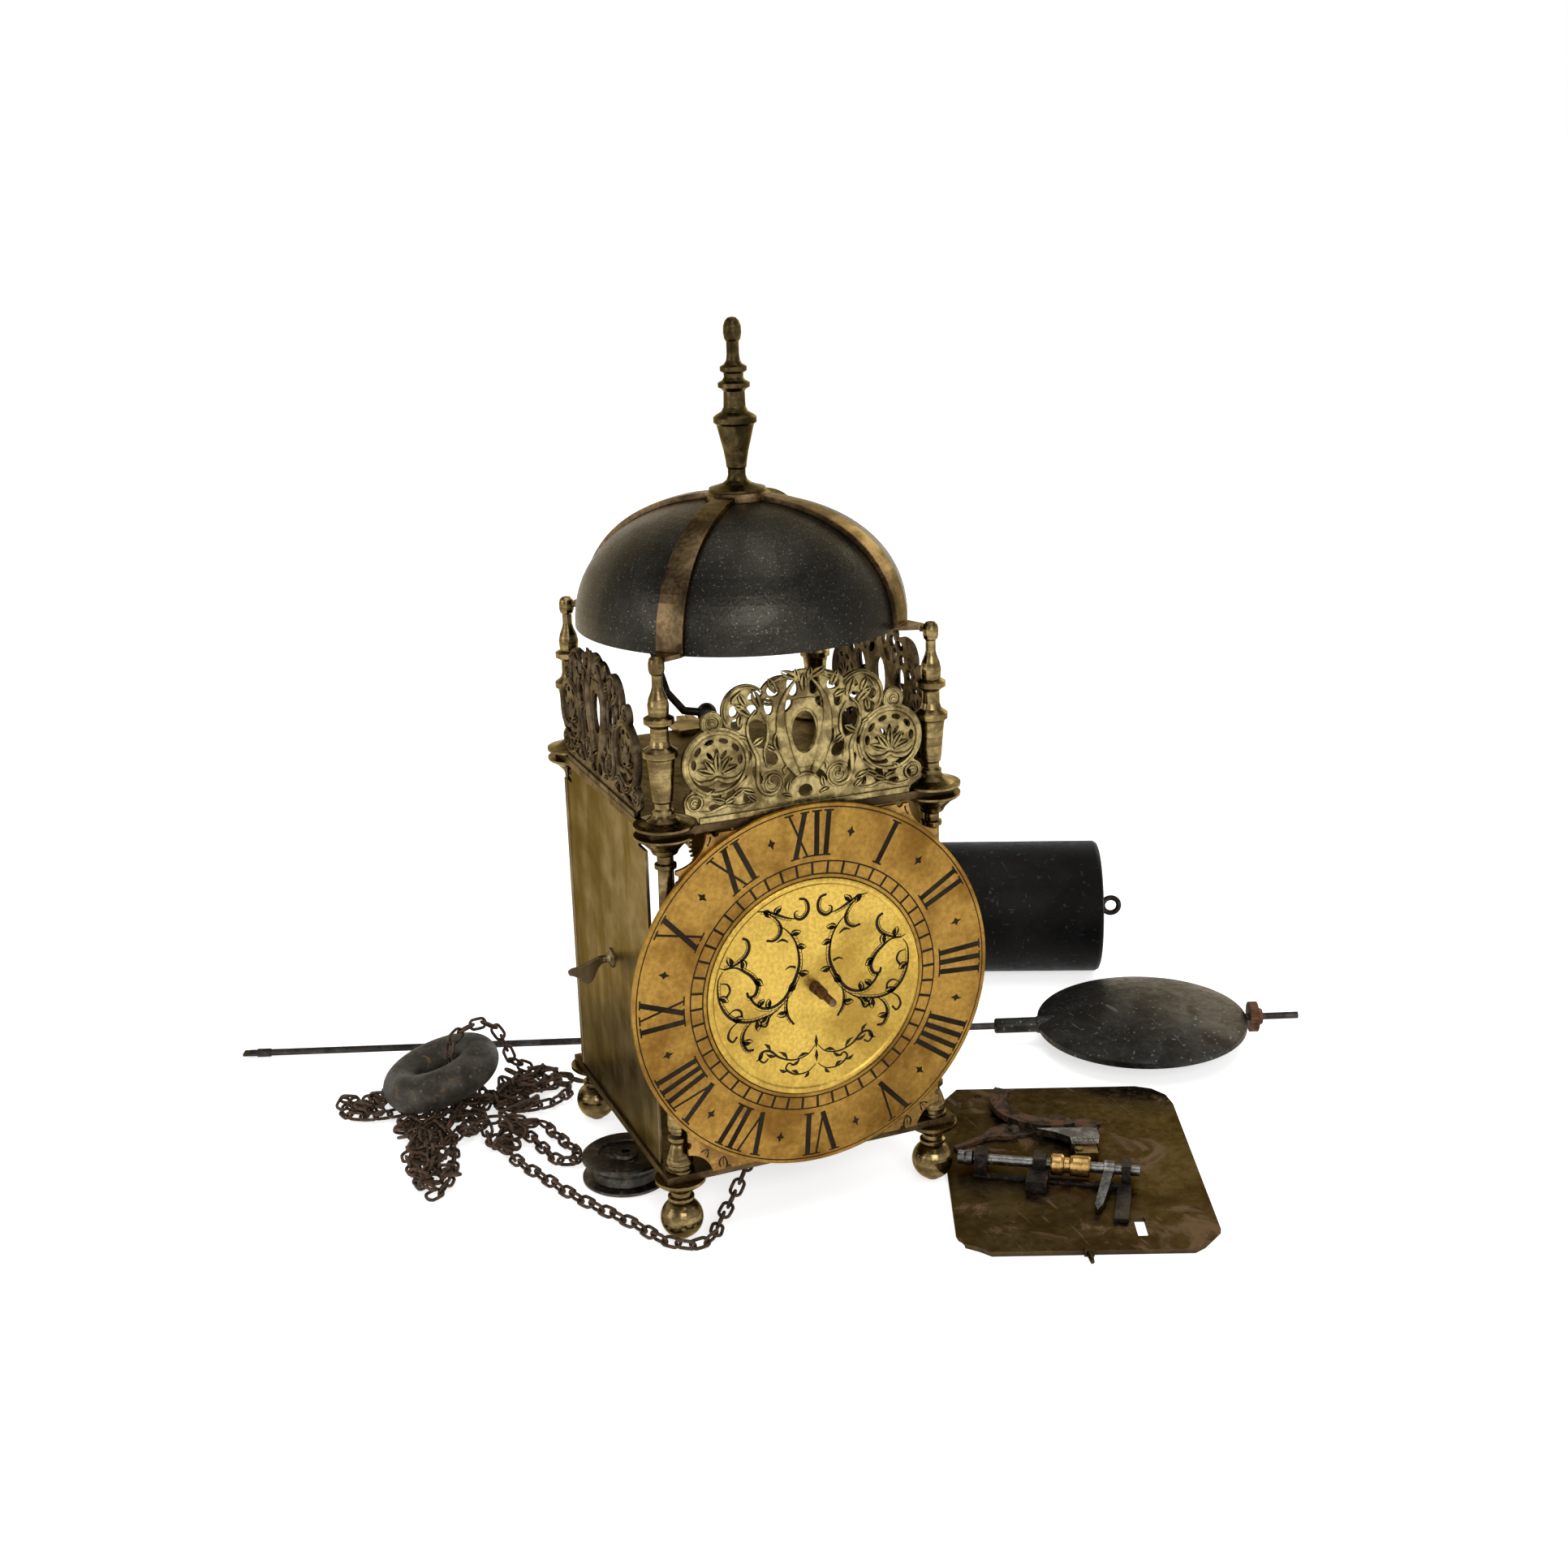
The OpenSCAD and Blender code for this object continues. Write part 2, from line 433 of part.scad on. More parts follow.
module left_door() door(-1);
module right_door() door(1);

// Movement bars: upright bars tenoned into the plates, with a side arm for the lifting arbor
module movement_bar(y) {
  y0 = y - bar_t / 2;
  difference() {
    union() {
      translate([-bar_w / 2, y0, zb]) cube([bar_w, bar_t, zt - zb]);
      translate([-3, y0, foot_z]) cube([6, bar_t, zp - foot_z]);
      translate([0, y0, lift_z - 4.5]) cube([lift_x + 4.5, bar_t, 9]);
    }
    ybar(lift_x, lift_z, y0 - 1, y0 + bar_t + 1, 1.6 + run);
    children();
  }
}
module front_bar() { set() color([0.5, 0.4, 0.2]) movement_bar(yf) {
  f = yf - bar_t / 2; g = yf + bar_t / 2;
  ybar(0, z1, f - 1, g + 1, 1.8 + run);
  ybar(0, z2, g - 1.3, g + 1, 1 + run);
  ybar(0, z3, f - 1, g + 1, 1 + run);
  ybar(0, z4, f - 1, g + 1, 1 + run);
  ybar(0, zd, f - 1, f + 1.3, 1 + run);
} }
module middle_bar() { set() color([0.5, 0.4, 0.2]) movement_bar(0) {
  for (z = [z1, z2, z3, z5]) ybar(0, z, -5, 5, 1 + run);
  ybar(0, z4, -5, 5, 3.2);
} }
module rear_bar() { set() color([0.5, 0.4, 0.2]) {
  movement_bar(yr) {
    g = yr - bar_t / 2; b = yr + bar_t / 2;
    ybar(0, z1, g - 1, b + 1, 1.8 + run);
    for (z = [z2, z3, z5]) ybar(0, z, g - 1, b + 1, 1 + run);
    ybar(0, z4, g - 1, b + 1, 3.2);
  }
  ybar(0, zc, yr, yr + 7.6, 2);
  ybar(0, zc, yr + 7.5, yr + 8.4, 3.2);
} }

// Going train between the front and middle bars
gf = yf + bar_t / 2; // rear face of the front bar
gm = -bar_t / 2; // front face of the middle bar
sm = bar_t / 2;
sr = yr - bar_t / 2;
module arbor(z, a, b, r, pa, pb) { // arbor with a pivot of radius 1 at each end
  ybar(0, z, a + 0.3, b - 0.3, r);
  ybar(0, z, a - pa, a + 0.5, 1);
  ybar(0, z, b - 0.5, b + pb, 1);
}
spike_h = 12 - link_w / 2 - 0.95; // the spikes end 0.3 inside the links that lie at a radius of 12
module chain_drum(y) { // grooved drum with short spikes between two flanges
  for (q = [y - 5.3, y + 3.8]) ybar(0, z1, q, q + 1.5, 15.5);
  ybar(0, z1, y - 4, y + 4, 7);
  for (k = [0:7]) translate([0, y, z1]) rotate([0, 45 * k, 0]) cylinder(r1 = 1, r2 = 0.5, h = spike_h);
}
module going_great_wheel() { set() color([0.55, 0.42, 0.2]) {
  wheel(z1, 60, m1, -45, 2.5, 9, 6);
  chain_drum(-34);
  ybar(0, z1, wheel_y - 1, gm - 0.3, 1.8);
  ybar(0, z1, gf + 0.3, gm - 0.3, 2.2);
  ybar(0, z1, gm - 0.5, gm + 1.2, 1);
  pinion(z1, 8, mh, wheel_y - 0.8, 3, 0);
} }
module going_second_wheel() { set() color([0.55, 0.42, 0.2]) {
  arbor(z2, gf, gm, 1.8, 1.1, 1.2);
  pinion(z2, 8, m1, -47.5, 7);
  wheel(z2, 56, m2, -20, 2, 7, 5);
} }
module escape_wheel() { set() color([0.55, 0.42, 0.2]) {
  arbor(z3, gf, gm, 1.6, 2, 1.2);
  pinion(z3, 8, m2, -22, 6);
  translate([0, 0, z3]) upright(-36, 1.4) difference() {
    polygon([for (i = [0:29]) each [for (q = [[20.4, 0], [22.4, 2.6], [esc_r, 5.4], [esc_r, 6.3], [21.6,
      7.6],
      [20.4, 10.4]]) [q[0] * cos(12 * i + q[1]), q[0] * sin(12 * i + q[1])]]]);
    for (q = [0:3]) polygon(concat(arcp(0, 0, 18, 90 * q + 6, 90 * q + 84, 12), arcp(0, 0, 5.5,
      90 * q + 68, 90 * q + 22, 6)));
  }
} }
module anchor() { set() color([0.25, 0.24, 0.23]) {
  ybar(0, z4, gf + 0.3, hy + 9.7, 1.8);
  ybar(0, z4, gf - 2, gf + 0.5, 1);
  ybar(0, z4, hy + 9.5, hy + 12, 1);
  translate([0, 0, z4]) upright(-37.6, 4.6) difference() {
    union() {
      circle(r = 4.4);
      for (s = [-1, 1]) polygon([[0, 4.2], [s * 9, 1.4], [s * 16.5, -5], [s * 22.4, -13.4], [s * 19.6,
        -17.2],
        [s * 16.8, -17.2], [s * 15.6, -15], [s * 12.4, -7.4], [s * 6, -2.6], [0, -3]]);
    }
    translate([0, z3 - z4]) circle(r = esc_r + 1, $fn = 96);
  }
  // crutch with its fork
  translate([-1.6, hy + 3, z4 - 44]) cube([3.2, 1.6, 44]);
  translate([-4.6, hy + 3, z4 - 47]) cube([9.2, 1.6, 3.6]);
  for (x = [-3.7, 3.7]) ybar(x, z4 - 45.2, hy + 3, hy + 17, 0.9);
} }
module back_cock() { set() color([0.5, 0.38, 0.2]) difference() {
  union() {
    translate([-11, hy - 5, zp]) cube([22, 17.5, 2.6]);
    translate([-9, hy + 10, z4 - 7]) cube([18, 2.5, zp - z4 + 7.1]);
    translate([-4, hy + 12.4, zp - 6]) cube([8, 8, 8.6]);
  }
  ybar(0, z4, hy, hy + 20, 1 + run);
  translate([-0.3, hy + 14, zp - 10]) cube([0.6, 10, 20]);
  ybar(0, zp - 1.6, hy, hy + 30, 1);
} }

// Striking train between the middle and rear bars
module strike_great_wheel() { set() color([0.55, 0.42, 0.2]) {
  wheel(z1, 60, m1, 28, 2.5, 9, 6, 8.6);
  for (k = [0:7]) ybar(27 * cos(45 * k + 22.5), z1 + 27 * sin(45 * k + 22.5), 24.5, 28.1, 1);
  chain_drum(41);
  ybar(0, z1, sm - 1.2, sm + 0.5, 1);
  ybar(0, z1, sm + 0.3, sr - 0.3, 2.2);
  ybar(0, z1, sr - 0.5, yr + 4.7, 1.8);
  pinion(z1, 8, mc, yr + 2.3, 2.4, 0);
} }
module hoop_wheel() { set() color([0.55, 0.42, 0.2]) {
  arbor(z2, sm, sr, 1.8, 1.2, 2);
  pinion(z2, 8, m1, 26, 7);
  wheel(z2, 56, m2, 11, 2, 7, 5);
  difference() {
    ybar(0, z2, 12.9, 16.4, 25.6);
    ybar(0, z2, 12.8, 17, 24.2);
    translate([18, 12.9, z2 + 4]) cube([12, 5, 5]);
  }
} }
module warning_wheel() { set() color([0.55, 0.42, 0.2]) {
  arbor(z3, sm, sr, 1.6, 1.2, 2);
  pinion(z3, 8, m2, 9, 7);
  wheel(z3, 40, m3, 40, 1.4, 5, 3.6);
  ybar(0, z3 - 11.5, 37.4, 40.1, 0.8);
} }
module fly() { set() color([0.4, 0.36, 0.3]) {
  arbor(z5, sm, sr, 1.4, 1.2, 2);
  pinion(z5, 8, m3, 38, 6);
  ybar(0, z5, 22.6, 35.4, 2.4);
  translate([-13, 23, z5 - 0.4]) cube([26, 12, 0.8]);
} }
count_y = yr + bar_t / 2 + 1;
module count_wheel() { set() color([0.6, 0.45, 0.2]) difference() {
  union() {
    translate([0, 0, zc]) upright(count_y, 1.6) rotate(3.75) wheel2d_at(48, mc, 6.5, 5);
    translate([0, 0, zc]) upright(count_y + 2.6, 1.4) difference() {
      circle(r = 26, $fn = 96);
      circle(r = 17);
      for (k = [0:10]) rotate([0, 12, 36, 66, 102, 144, 186, 228, 270, 306, 336][k]) translate([24,
        -1.1]) square([4, 2.2]);
    }
    ybar(0, zc, count_y, count_y + 4, 5);
    for (q = [0:3]) translate([0, 0, zc]) rotate([0, 90 * q + 45, 0]) translate([4, count_y + 2.6,
      -1.8]) cube([14.5, 1.4, 3.6]);
    for (q = [0:3]) translate([0, 0, zc]) rotate([0, 90 * q, 0]) ybar(18.4, 0, count_y + 0.2,
      count_y + 3, 1.2);
  }
  ybar(0, zc, count_y - 1, count_y + 5, 2 + run);
} }
// a flat lever between two points of the X-Z plane
module lever(a, b, w0, w1, y, t) {
  d = (b - a) / norm(b - a); n = [-d[1], d[0]];
  upright(y, t) polygon([a + n * w0 / 2, b + n * w1 / 2, b - n * w1 / 2, a - n * w0 / 2]);
}
module lifting_arbor() { set() color([0.25, 0.24, 0.23]) {
  ybar(lift_x, lift_z, yf - bar_t / 2 - 2.9, yr + 8, 1.6);
  L = [lift_x, lift_z];
  for (q = [[yf - bar_t / 2 - 2.8, [12.5, 121]], [13.6, [28, lift_z - 10]], [count_y + 2.7, [25,
    lift_z - 14]]]) {
    lever(L, q[1], 4.4, 2, q[0], 1.4);
    ybar(lift_x, lift_z, q[0] - 0.6, q[0] + 1.9, 3.2);
  }
  lever(L, [lift_x + 9, lift_z - 22], 4, 3, count_y + 2.7, 1.4);
} }
head_r = 5.2;
// the hammer head rests a little off the inside of the bell near its rim
head_d = bell_r - bell_t - head_r - 2.9;
head = [head_d * cos(148.57), head_d * sin(148.57), bell_z + 5.5];
module hammer() { set() color([0.16, 0.15, 0.14]) {
  p = [[hax, hay, 214], [-22, hay, 216.4], [-29.6, hay + 0.5, 226], [-34, hay + 2, 243], [-40, 26, 258],
    head];
  translate([hax, hay, zb + 0.4]) cylinder(r = 2, h = 214 - zb);
  translate([hax, hay, zb - 2.6]) cylinder(r = 1.2, h = 4);
  translate(p[0]) sphere(r = 4.6);
  for (i = [0:4]) bar(p[i], p[i + 1], 1.9 - 0.1 * i, 1.8 - 0.1 * i);
  for (i = [1:4]) translate(p[i]) sphere(r = 1.9 - 0.1 * i + 0.02);
  translate(head) sphere(r = head_r);
  translate([hax - 16.5, hay - 1, z1 - 2.5]) cube([16.5, 2, 5]);
  translate([hax, hay, z1 - 4]) cylinder(r = 3.4, h = 8);
} }
module hammer_spring() { set() color([0.3, 0.3, 0.31]) {
  translate([hax - 16, hay + 1.3, zb]) cube([5, 0.9, z1 + 5 - zb]);
  translate([hax - 17, hay + 1.3, zb]) cube([7, 4, 1.6]);
} }

// Loose back plate with its hanging iron and alarm work, lying on the floor
module on_back() { set() translate([122.7, -82.1, 0]) rotate([0, 0, -23.2]) children(); }
back_t = 2.2;
module back_plate() { on_back() color([0.3, 0.22, 0.12]) {
  linear_extrude(back_t) difference() {
    polygon([[-56.4, -61], [-56.4, 61], [-46, 78], [44, 78], [52, 75], [58, 68], [60, 58], [60, -62], [51, -74],
      [46, -78], [-42, -78], [-47, -74], [-54, -70]]);
    translate([-60, -70]) circle(r = 7);
    translate([-60, 74]) circle(r = 9);
    translate([23, -66.5]) square([5, 15.5]);
    translate([-36, 70]) circle(r = 1.6);
    translate([40, 70]) circle(r = 1.6);
    translate([1, 44]) circle(r = 5);
  }
  translate([-2.2, -79.4, 0]) cube([4.4, 3, 3.4]);
  translate([0, -78.4, 1.7]) rotate([96, 0, 4]) cylinder(r1 = 1.6, r2 = 0.9, h = 7);
} }
module alarm_strap() { on_back() color([0.2, 0.19, 0.18]) translate([0, 0, back_t]) {
  linear_extrude(2) {
    polygon([[-51, 13], [-43, 17.5], [-36, 22.6], [-31, 24], [-25, 23.4], [-17, 25], [-11, 27.4], [-8, 31],
      [-12, 35.4], [-19, 37.4], [-27, 36.6], [-33, 32], [-37, 26.4], [-44, 20.4], [-52, 15]]);
    polygon([[-10, 33], [-4, 29.6], [8, 29], [17, 31], [21, 35.4], [15, 40.6], [6, 39], [-4, 41], [-10,
      38]]);
  }
  translate([0, 0, 1.9]) linear_extrude(3.2) difference() {
    polygon(concat(arcp(-3, 56, 28, 150, 292, 20), arcp(-3, 56, 20, 292, 150, 16)));
  }
  for (p = [[-21.5, 30.4], [9, 34.6]]) translate([p[0], p[1], 1.9]) turned([[0, 0], [3.2, 0], [2.9, 0.9],
    [1.8, 1.7], [0, 2]]);
} }
// axis of the alarm arbor on the back plate
al_a = [-57, -2.2, 8.4];
al_b = [31, -20.4, 8.4];
al_w = atan2(al_b[1] - al_a[1], al_b[0] - al_a[0]);
al_l = norm(al_b - al_a);
module on_alarm() { on_back() translate(al_a) rotate([0, 0, al_w]) children(); }
module alarm_cocks() { on_alarm() color([0.19, 0.16, 0.14]) difference() {
  union() {
    for (x = [14, 41]) translate([x, -4.2, back_t - al_a[2]]) cube([6, 8.4, 10.6]);
    translate([39, -17, back_t - al_a[2]]) cube([9.6, 15, 5.6]);
    translate([81.6, -4, back_t - al_a[2]]) cube([4, 8, 10]);
    translate([70, -8.6, back_t - al_a[2]]) cube([17, 4.2, 2]);
    translate([80.2, -37, back_t - al_a[2]]) cube([6.4, 30, 2]);
    translate([14, -8, back_t - al_a[2]]) cube([68, 4, 1.3]);
  }
  rotate([0, 90, 0]) translate([0, 0, -5]) cylinder(r = 2.5 + run, h = al_l + 20);
} }
module alarm_arbor() { on_alarm() color([0.34, 0.33, 0.31]) {
  rotate([0, 90, 0]) translate([0, 0, 7]) cylinder(r = 2.5, h = al_l - 7);
  rotate([0, 90, 0]) turned([[0, 6], [3.2, 6], [3.2, 9], [3.6, 10], [3.6, 12.6], [2.5, 13.4], [0, 13.4]]);
  rotate([0, 90, 0]) translate([0, 0, 73.6]) cylinder(r = 3.8, h = 4.6);
  translate([73.8, 0, -1.2]) rotate([7, 0, -3]) linear_extrude(2.4) polygon([[0, 0], [4.4, 0], [3.6,
    -16], [2.4, -29],
    [0.6, -33], [-1, -29], [-0.6, -14]]);
} }
module alarm_collets() { on_alarm() color([0.75, 0.55, 0.25]) rotate([0, 90, 0]) difference() {
  turned([[0, 49.2], [4.4, 49.2], [5, 50], [5, 54], [4.4, 55], [3.6, 55.4], [3.6, 57.6], [4.6, 58.2],
    [4.9, 59.4],
    [4.9, 66.4], [4.4, 67.2], [0, 67.2]]);
  translate([0, 0, 40]) cylinder(r = 2.5 + 0.02, h = 40);
} }
module alarm_hammer() { on_back() color([0.42, 0.42, 0.4]) translate([0, 0, back_t]) {
  translate([3.4, 9, 0]) cube([12.6, 6.6, 5.4]);
  translate([0, 0, 1.8]) linear_extrude(3.6) polygon([[-11.6, 24.8], [2, 24.9], [17.2, 24.2], [17.4,
    15.5], [16, 8.8], [3.4, 8.8], [3.4, 15.4],
    [-3, 20.6]]);
  translate([3.4, 9, 5]) for (i = [0:4], j = [0:1]) translate([1 + 2.4 * i, 1 + 2.8 * j, 0]) cube([1.6,
    1.6, 0.9]);
} }
module alarm_block() { on_back() color([0.6, 0.4, 0.2]) translate([0, 0, back_t]) {
  translate([4.4, 1.6, 0]) cube([10.6, 7.1, 4.2]);
  translate([6.4, 5.2, 4.1]) cylinder(r = 1.8, h = 0.9);
} }

// Pendulum, lying on the floor behind the case
module on_pend() { set() translate([227.5, 19.5, bob_t / 2 + 0.25]) rotate([0, 0, -23.53]) rotate([0,
  -1.2, 0]) children(); }
module pendulum_rod() { on_pend() color([0.18, 0.17, 0.17]) {
  rotate([0, 90, 0]) translate([0, 0, -478]) cylinder(d = rod_d, h = 560.6);
  translate([-481.6, -2.6, -0.7]) cube([9, 5.2, 1.4]);
  rotate([0, 90, 0]) translate([0, 0, -474]) cylinder(r = 2.25, h = 7);
} }
module pendulum_bob() { on_pend() color([0.16, 0.16, 0.17]) difference() {
  union() {
    turned(concat([for (a = [0:8]) let (r = bob_r * sin(a * 11.25)) [r,
      -(bob_t / 2 - (bob_t / 2 - 1.6) * pow(r / bob_r, 2))]],
      [for (a = [8:-1:0]) let (r = bob_r * sin(a * 11.25)) [r,
        bob_t / 2 - (bob_t / 2 - 1.6) * pow(r / bob_r, 2)]]));
    rotate([0, 90, 0]) translate([0, 0, -bob_r - 23]) turned([[0, 0], [3.4, 0], [4, 0.8], [4, 22], [4.6,
      23], [4.6, 34], [0, 34]]);
  }
  rotate([0, 90, 0]) translate([0, 0, -100]) cylinder(d = rod_d + 2 * run, h = 200);
} }
module rating_nut() { on_pend() color([0.4, 0.2, 0.1]) rotate([0, 90, 0]) translate([0, 0,
  bob_r + 1.6]) difference() {
  union() {
    linear_extrude(4.6) polygon([for (i = [0:47]) let (r = i % 2 == 0 ? 8 : 7.3) [r * cos(7.5 * i),
      r * sin(7.5 * i)]]);
    translate([0, 0, 4.5]) cylinder(r1 = 5, r2 = 4, h = 2.5);
  }
  translate([0, 0, -1]) cylinder(d = rod_d + 2 * run, h = 12);
} }

// Driving weight lying on its side, and its eye
module on_weight() { set() translate([260, 119, weight_r]) rotate([0, 0, -25]) children(); }
module driving_weight() { on_weight() color([0.08, 0.08, 0.09]) rotate([0, -90, 0]) difference() {
  turned([[0, 0], [weight_r - 3, 0], [weight_r - 1, 0.8], [weight_r, 2.6], [weight_r, weight_l - 3],
    [weight_r - 0.9, weight_l - 0.9], [weight_r - 3, weight_l], [0, weight_l]]);
  translate([0, 0, -1]) cylinder(r = 2.05, h = 21);
} }
module weight_eye() { on_weight() color([0.2, 0.14, 0.1]) {
  rotate([0, 90, 0]) translate([0, 0, -18]) cylinder(r = 2, h = 22);
  rotate([0, 90, 0]) cylinder(r = 3.6, h = 1.2);
  translate([7.6, 0, 0]) rotate([90, 0, 0]) rotate_extrude() translate([4.6, 0]) circle(r = 1.5);
} }

// Lead ring resting tilted on the chain
lead_tube = 9.5;
lead_c = [-131, 100, 22.6];
lead_az = -22.6;
lead_tilt = 17;
module ring_weight() { set() color([0.36, 0.35, 0.34]) translate(lead_c) rotate([0, 0,
  lead_az]) rotate([0, -lead_tilt, 0])
  rotate_extrude($fn = 96) translate([lead_r - lead_tube, 0]) circle(r = lead_tube); }
// a point given in the tilted ring's own frame
function ring_pt(rho, w, s) = let (p = rho * cos(w), q = rho * sin(w),
  h = p * cos(lead_tilt) - s * sin(lead_tilt))
  lead_c + [h * cos(lead_az) - q * sin(lead_az), h * sin(lead_az) + q * cos(lead_az),
    p * sin(lead_tilt) + s * cos(lead_tilt)];

module chain_pulley() { set() color([0.17, 0.17, 0.18]) translate([-68, -2, 0]) difference() {
  turned([[0, 0], [19.6, 0], [20.6, 0.8], [20.6, 2], [16.4, 3], [15.6, 6.5], [16.4, 10], [20.6, 11],
    [20.6, 12.2],
    [19.6, 13], [13, 13], [12.4, 12.2], [6, 12.2], [5.6, 13.6], [0, 13.6]]);
  translate([0, 0, -1]) cylinder(r = 2.2, h = 20);
} }

// Chain: oval links threaded through each other, every second link turned a quarter
gauge = pitch + 0.3; // inner length of a link
module loop2d(r, s) { square([s, 2 * r], center = true); for (e = [-1, 1]) translate([e * s / 2,
  0]) circle(r = r); }
module link() {
  S = gauge - (link_w - 2 * wire_d);
  translate([0, 0, -wire_d / 2]) linear_extrude(wire_d) difference() {
    loop2d(link_w / 2, S);
    loop2d(link_w / 2 - wire_d, S);
  }
}
function spline(p, n = 6) = let (m = len(p)) concat([for (i = [0:m - 2], k = [0:n - 1])
  let (a = p[max(0, i - 1)], b = p[i], c = p[i + 1], d = p[min(m - 1, i + 2)], t = k / n)
  0.5 * (2 * b + (c - a) * t + (2 * a - 5 * b + 4 * c - d) * t * t + (3 * b - a - 3 * c + d) * t * t *
    t)], [p[m - 1]]);
function lengths(q) = [for (i = 0,
  s = 0; i < len(q); s = s + (i < len(q) - 1 ? norm(q[i + 1] - q[i]) : 0), i = i + 1) s];
module chain(route) {
  q = spline(route); L = lengths(q); n = floor(L[len(L) - 1] / pitch);
  T = [for (c = [0:2]) [for (i = [0:len(q) - 1]) [L[i], q[i][c]]]];
  pts = [for (k = [0:n]) [for (c = [0:2]) lookup(k * pitch, T[c])]];
  for (k = [0:n - 1]) { d = pts[k + 1] - pts[k];
    translate((pts[k + 1] + pts[k]) / 2) rotate([0, -asin(d[2] / norm(d)), atan2(d[1], d[0])])
      rotate([k % 2 == 0 ? 20 : 110, 0, 0]) link(); }
}
// a coil of a heap: an oval spiral of n turns at one height
function coil(c, a, b, w, n, z, dir, ph = 0) = [for (i = [0:12 * n]) let (k = dir > 0 ? i : 12 * n - i,
  t = 30 * i + ph,
  e = 7.6 * k / 12 + 0.5 * sin(67 * i)) [c[0] + (a - e) * cos(t) * cos(w) - (b - e) * sin(t) * sin(w),
  c[1] + (a - e) * cos(t) * sin(w) + (b - e) * sin(t) * cos(w), z]];
fl = 3.4; // height of a chain lying on the floor
l2 = fl + 6.85; // and of a second layer
module chain_heap() { set() color([0.25, 0.17, 0.13]) {
  chain(coil([-157, 112], 26, 13.5, -8, 1, fl, 1));
  chain(coil([-149.6, 50], 38.5, 13, 76, 1, fl, 1, 180));
  chain(coil([-153.6, 45], 26, 8, 76, 1, l2, 1, 90));
  chain(coil([-84, 93], 25, 17.6, 10, 1.5, fl, 1));
  chain(coil([-82, 94], 16, 12, 10, 1, l2, 1, 40));
  chain([for (k = [[37, -12], [36.6, 2], [31.6, 11], [20.5, 13.8], [10.5, 11.4], [6.8, 2], [6.4, -8]])
    ring_pt(k[0], 38, k[1])]);
} }
module chain_strand() { set() color([0.25, 0.17, 0.13]) chain(concat([[-109.9, 60.4, fl], [-113.3, 34, fl],
  [-104.8, 6.7, fl],
  [-98.7, -11.2, fl], [-91, -28.7, fl], [-83.3, -44.2, fl], [-78.2, -55.2, fl], [-73.6, -67.6, fl],
    [-63.1, -78.6, fl],
  [-52, -75.2, fl], [-45.6, -66, fl + 0.7], [-35, -55, 8], [-23.5, -44, 16], [-14.5, -36.2, 24], [-12, -34,
    31], [-12, -34, 40], [-12, -34, z1 - 6]],
  [for (a = [180:-30:0]) [12 * cos(a), -34, z1 + 12 * sin(a)]], [[12, -34, z1 - 8], [12, -34, 34], [12.4,
    -33.4, 20], [13.2, -29.5, 9.8], [14.6, -23, fl + 1.7],
  [17, -12, fl + 0.2], [19, 6, fl], [17.4, 22, fl + 0.5], [14.6, 33, 7.6], [12.3, 40, 19], [12, 41, 31],
  [12, 41, z1 - 8]],
  [for (a = [0:30:180]) [12 * cos(a), 41, z1 + 12 * sin(a)]], [[-12, 41, z1 - 8], [-12, 41, 31], [-12.6,
    40.4, 19], [-15, 37, 9.4], [-20.5, 31.6, fl + 1.4],
  [-30, 24, fl + 0.2], [-40, 20, fl]])); }
module chain_return() { set() color([0.25, 0.17, 0.13]) chain([[-104, 67, fl], [-99, 45, fl], [-96, 26,
  fl], [-92, 18, fl],
  [-84.5, 19, fl], [-84.4, 29, fl], [-88, 46, fl], [-91, 66, fl]]); }

bottom_plate();
top_plate();
foot_front_left();
foot_front_right();
foot_rear_left();
foot_rear_right();
pillar_front_left();
pillar_front_right();
pillar_rear_left();
pillar_rear_right();
finial_front_left();
finial_front_right();
finial_rear_left();
finial_rear_right();
front_fret();
left_fret();
right_fret();
bell();
bell_strap();
bell_finial();
bell_nut();
dial_plate();
chapter_ring();
dial_centre();
hour_wheel();
left_door();
right_door();
front_bar();
middle_bar();
rear_bar();
going_great_wheel();
going_second_wheel();
escape_wheel();
anchor();
back_cock();
strike_great_wheel();
hoop_wheel();
warning_wheel();
fly();
count_wheel();
lifting_arbor();
hammer();
hammer_spring();
back_plate();
alarm_strap();
alarm_cocks();
alarm_arbor();
alarm_collets();
alarm_hammer();
alarm_block();
pendulum_rod();
pendulum_bob();
rating_nut();
driving_weight();
weight_eye();
ring_weight();
chain_pulley();
chain_heap();
chain_strand();
chain_return();
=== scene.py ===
import bpy, bmesh, math
from mathutils import Vector, Matrix


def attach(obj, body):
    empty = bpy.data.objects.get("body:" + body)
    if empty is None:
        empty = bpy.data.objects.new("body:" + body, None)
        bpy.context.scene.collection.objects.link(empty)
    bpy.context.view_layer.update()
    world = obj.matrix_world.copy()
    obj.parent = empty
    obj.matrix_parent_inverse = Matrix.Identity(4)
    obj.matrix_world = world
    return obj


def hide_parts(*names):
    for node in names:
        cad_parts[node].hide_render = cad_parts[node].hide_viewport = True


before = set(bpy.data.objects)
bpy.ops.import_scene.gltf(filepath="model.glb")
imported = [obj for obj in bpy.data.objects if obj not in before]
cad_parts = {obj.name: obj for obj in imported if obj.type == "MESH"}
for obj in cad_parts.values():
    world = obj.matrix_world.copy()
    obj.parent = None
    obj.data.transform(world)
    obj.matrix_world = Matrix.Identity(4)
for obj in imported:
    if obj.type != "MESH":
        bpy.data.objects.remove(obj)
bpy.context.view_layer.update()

SX, SY = -44.5, -21.1          # the clock's axis in the frame, mm
sin = lambda d: math.sin(math.radians(d))
cos = lambda d: math.cos(math.radians(d))


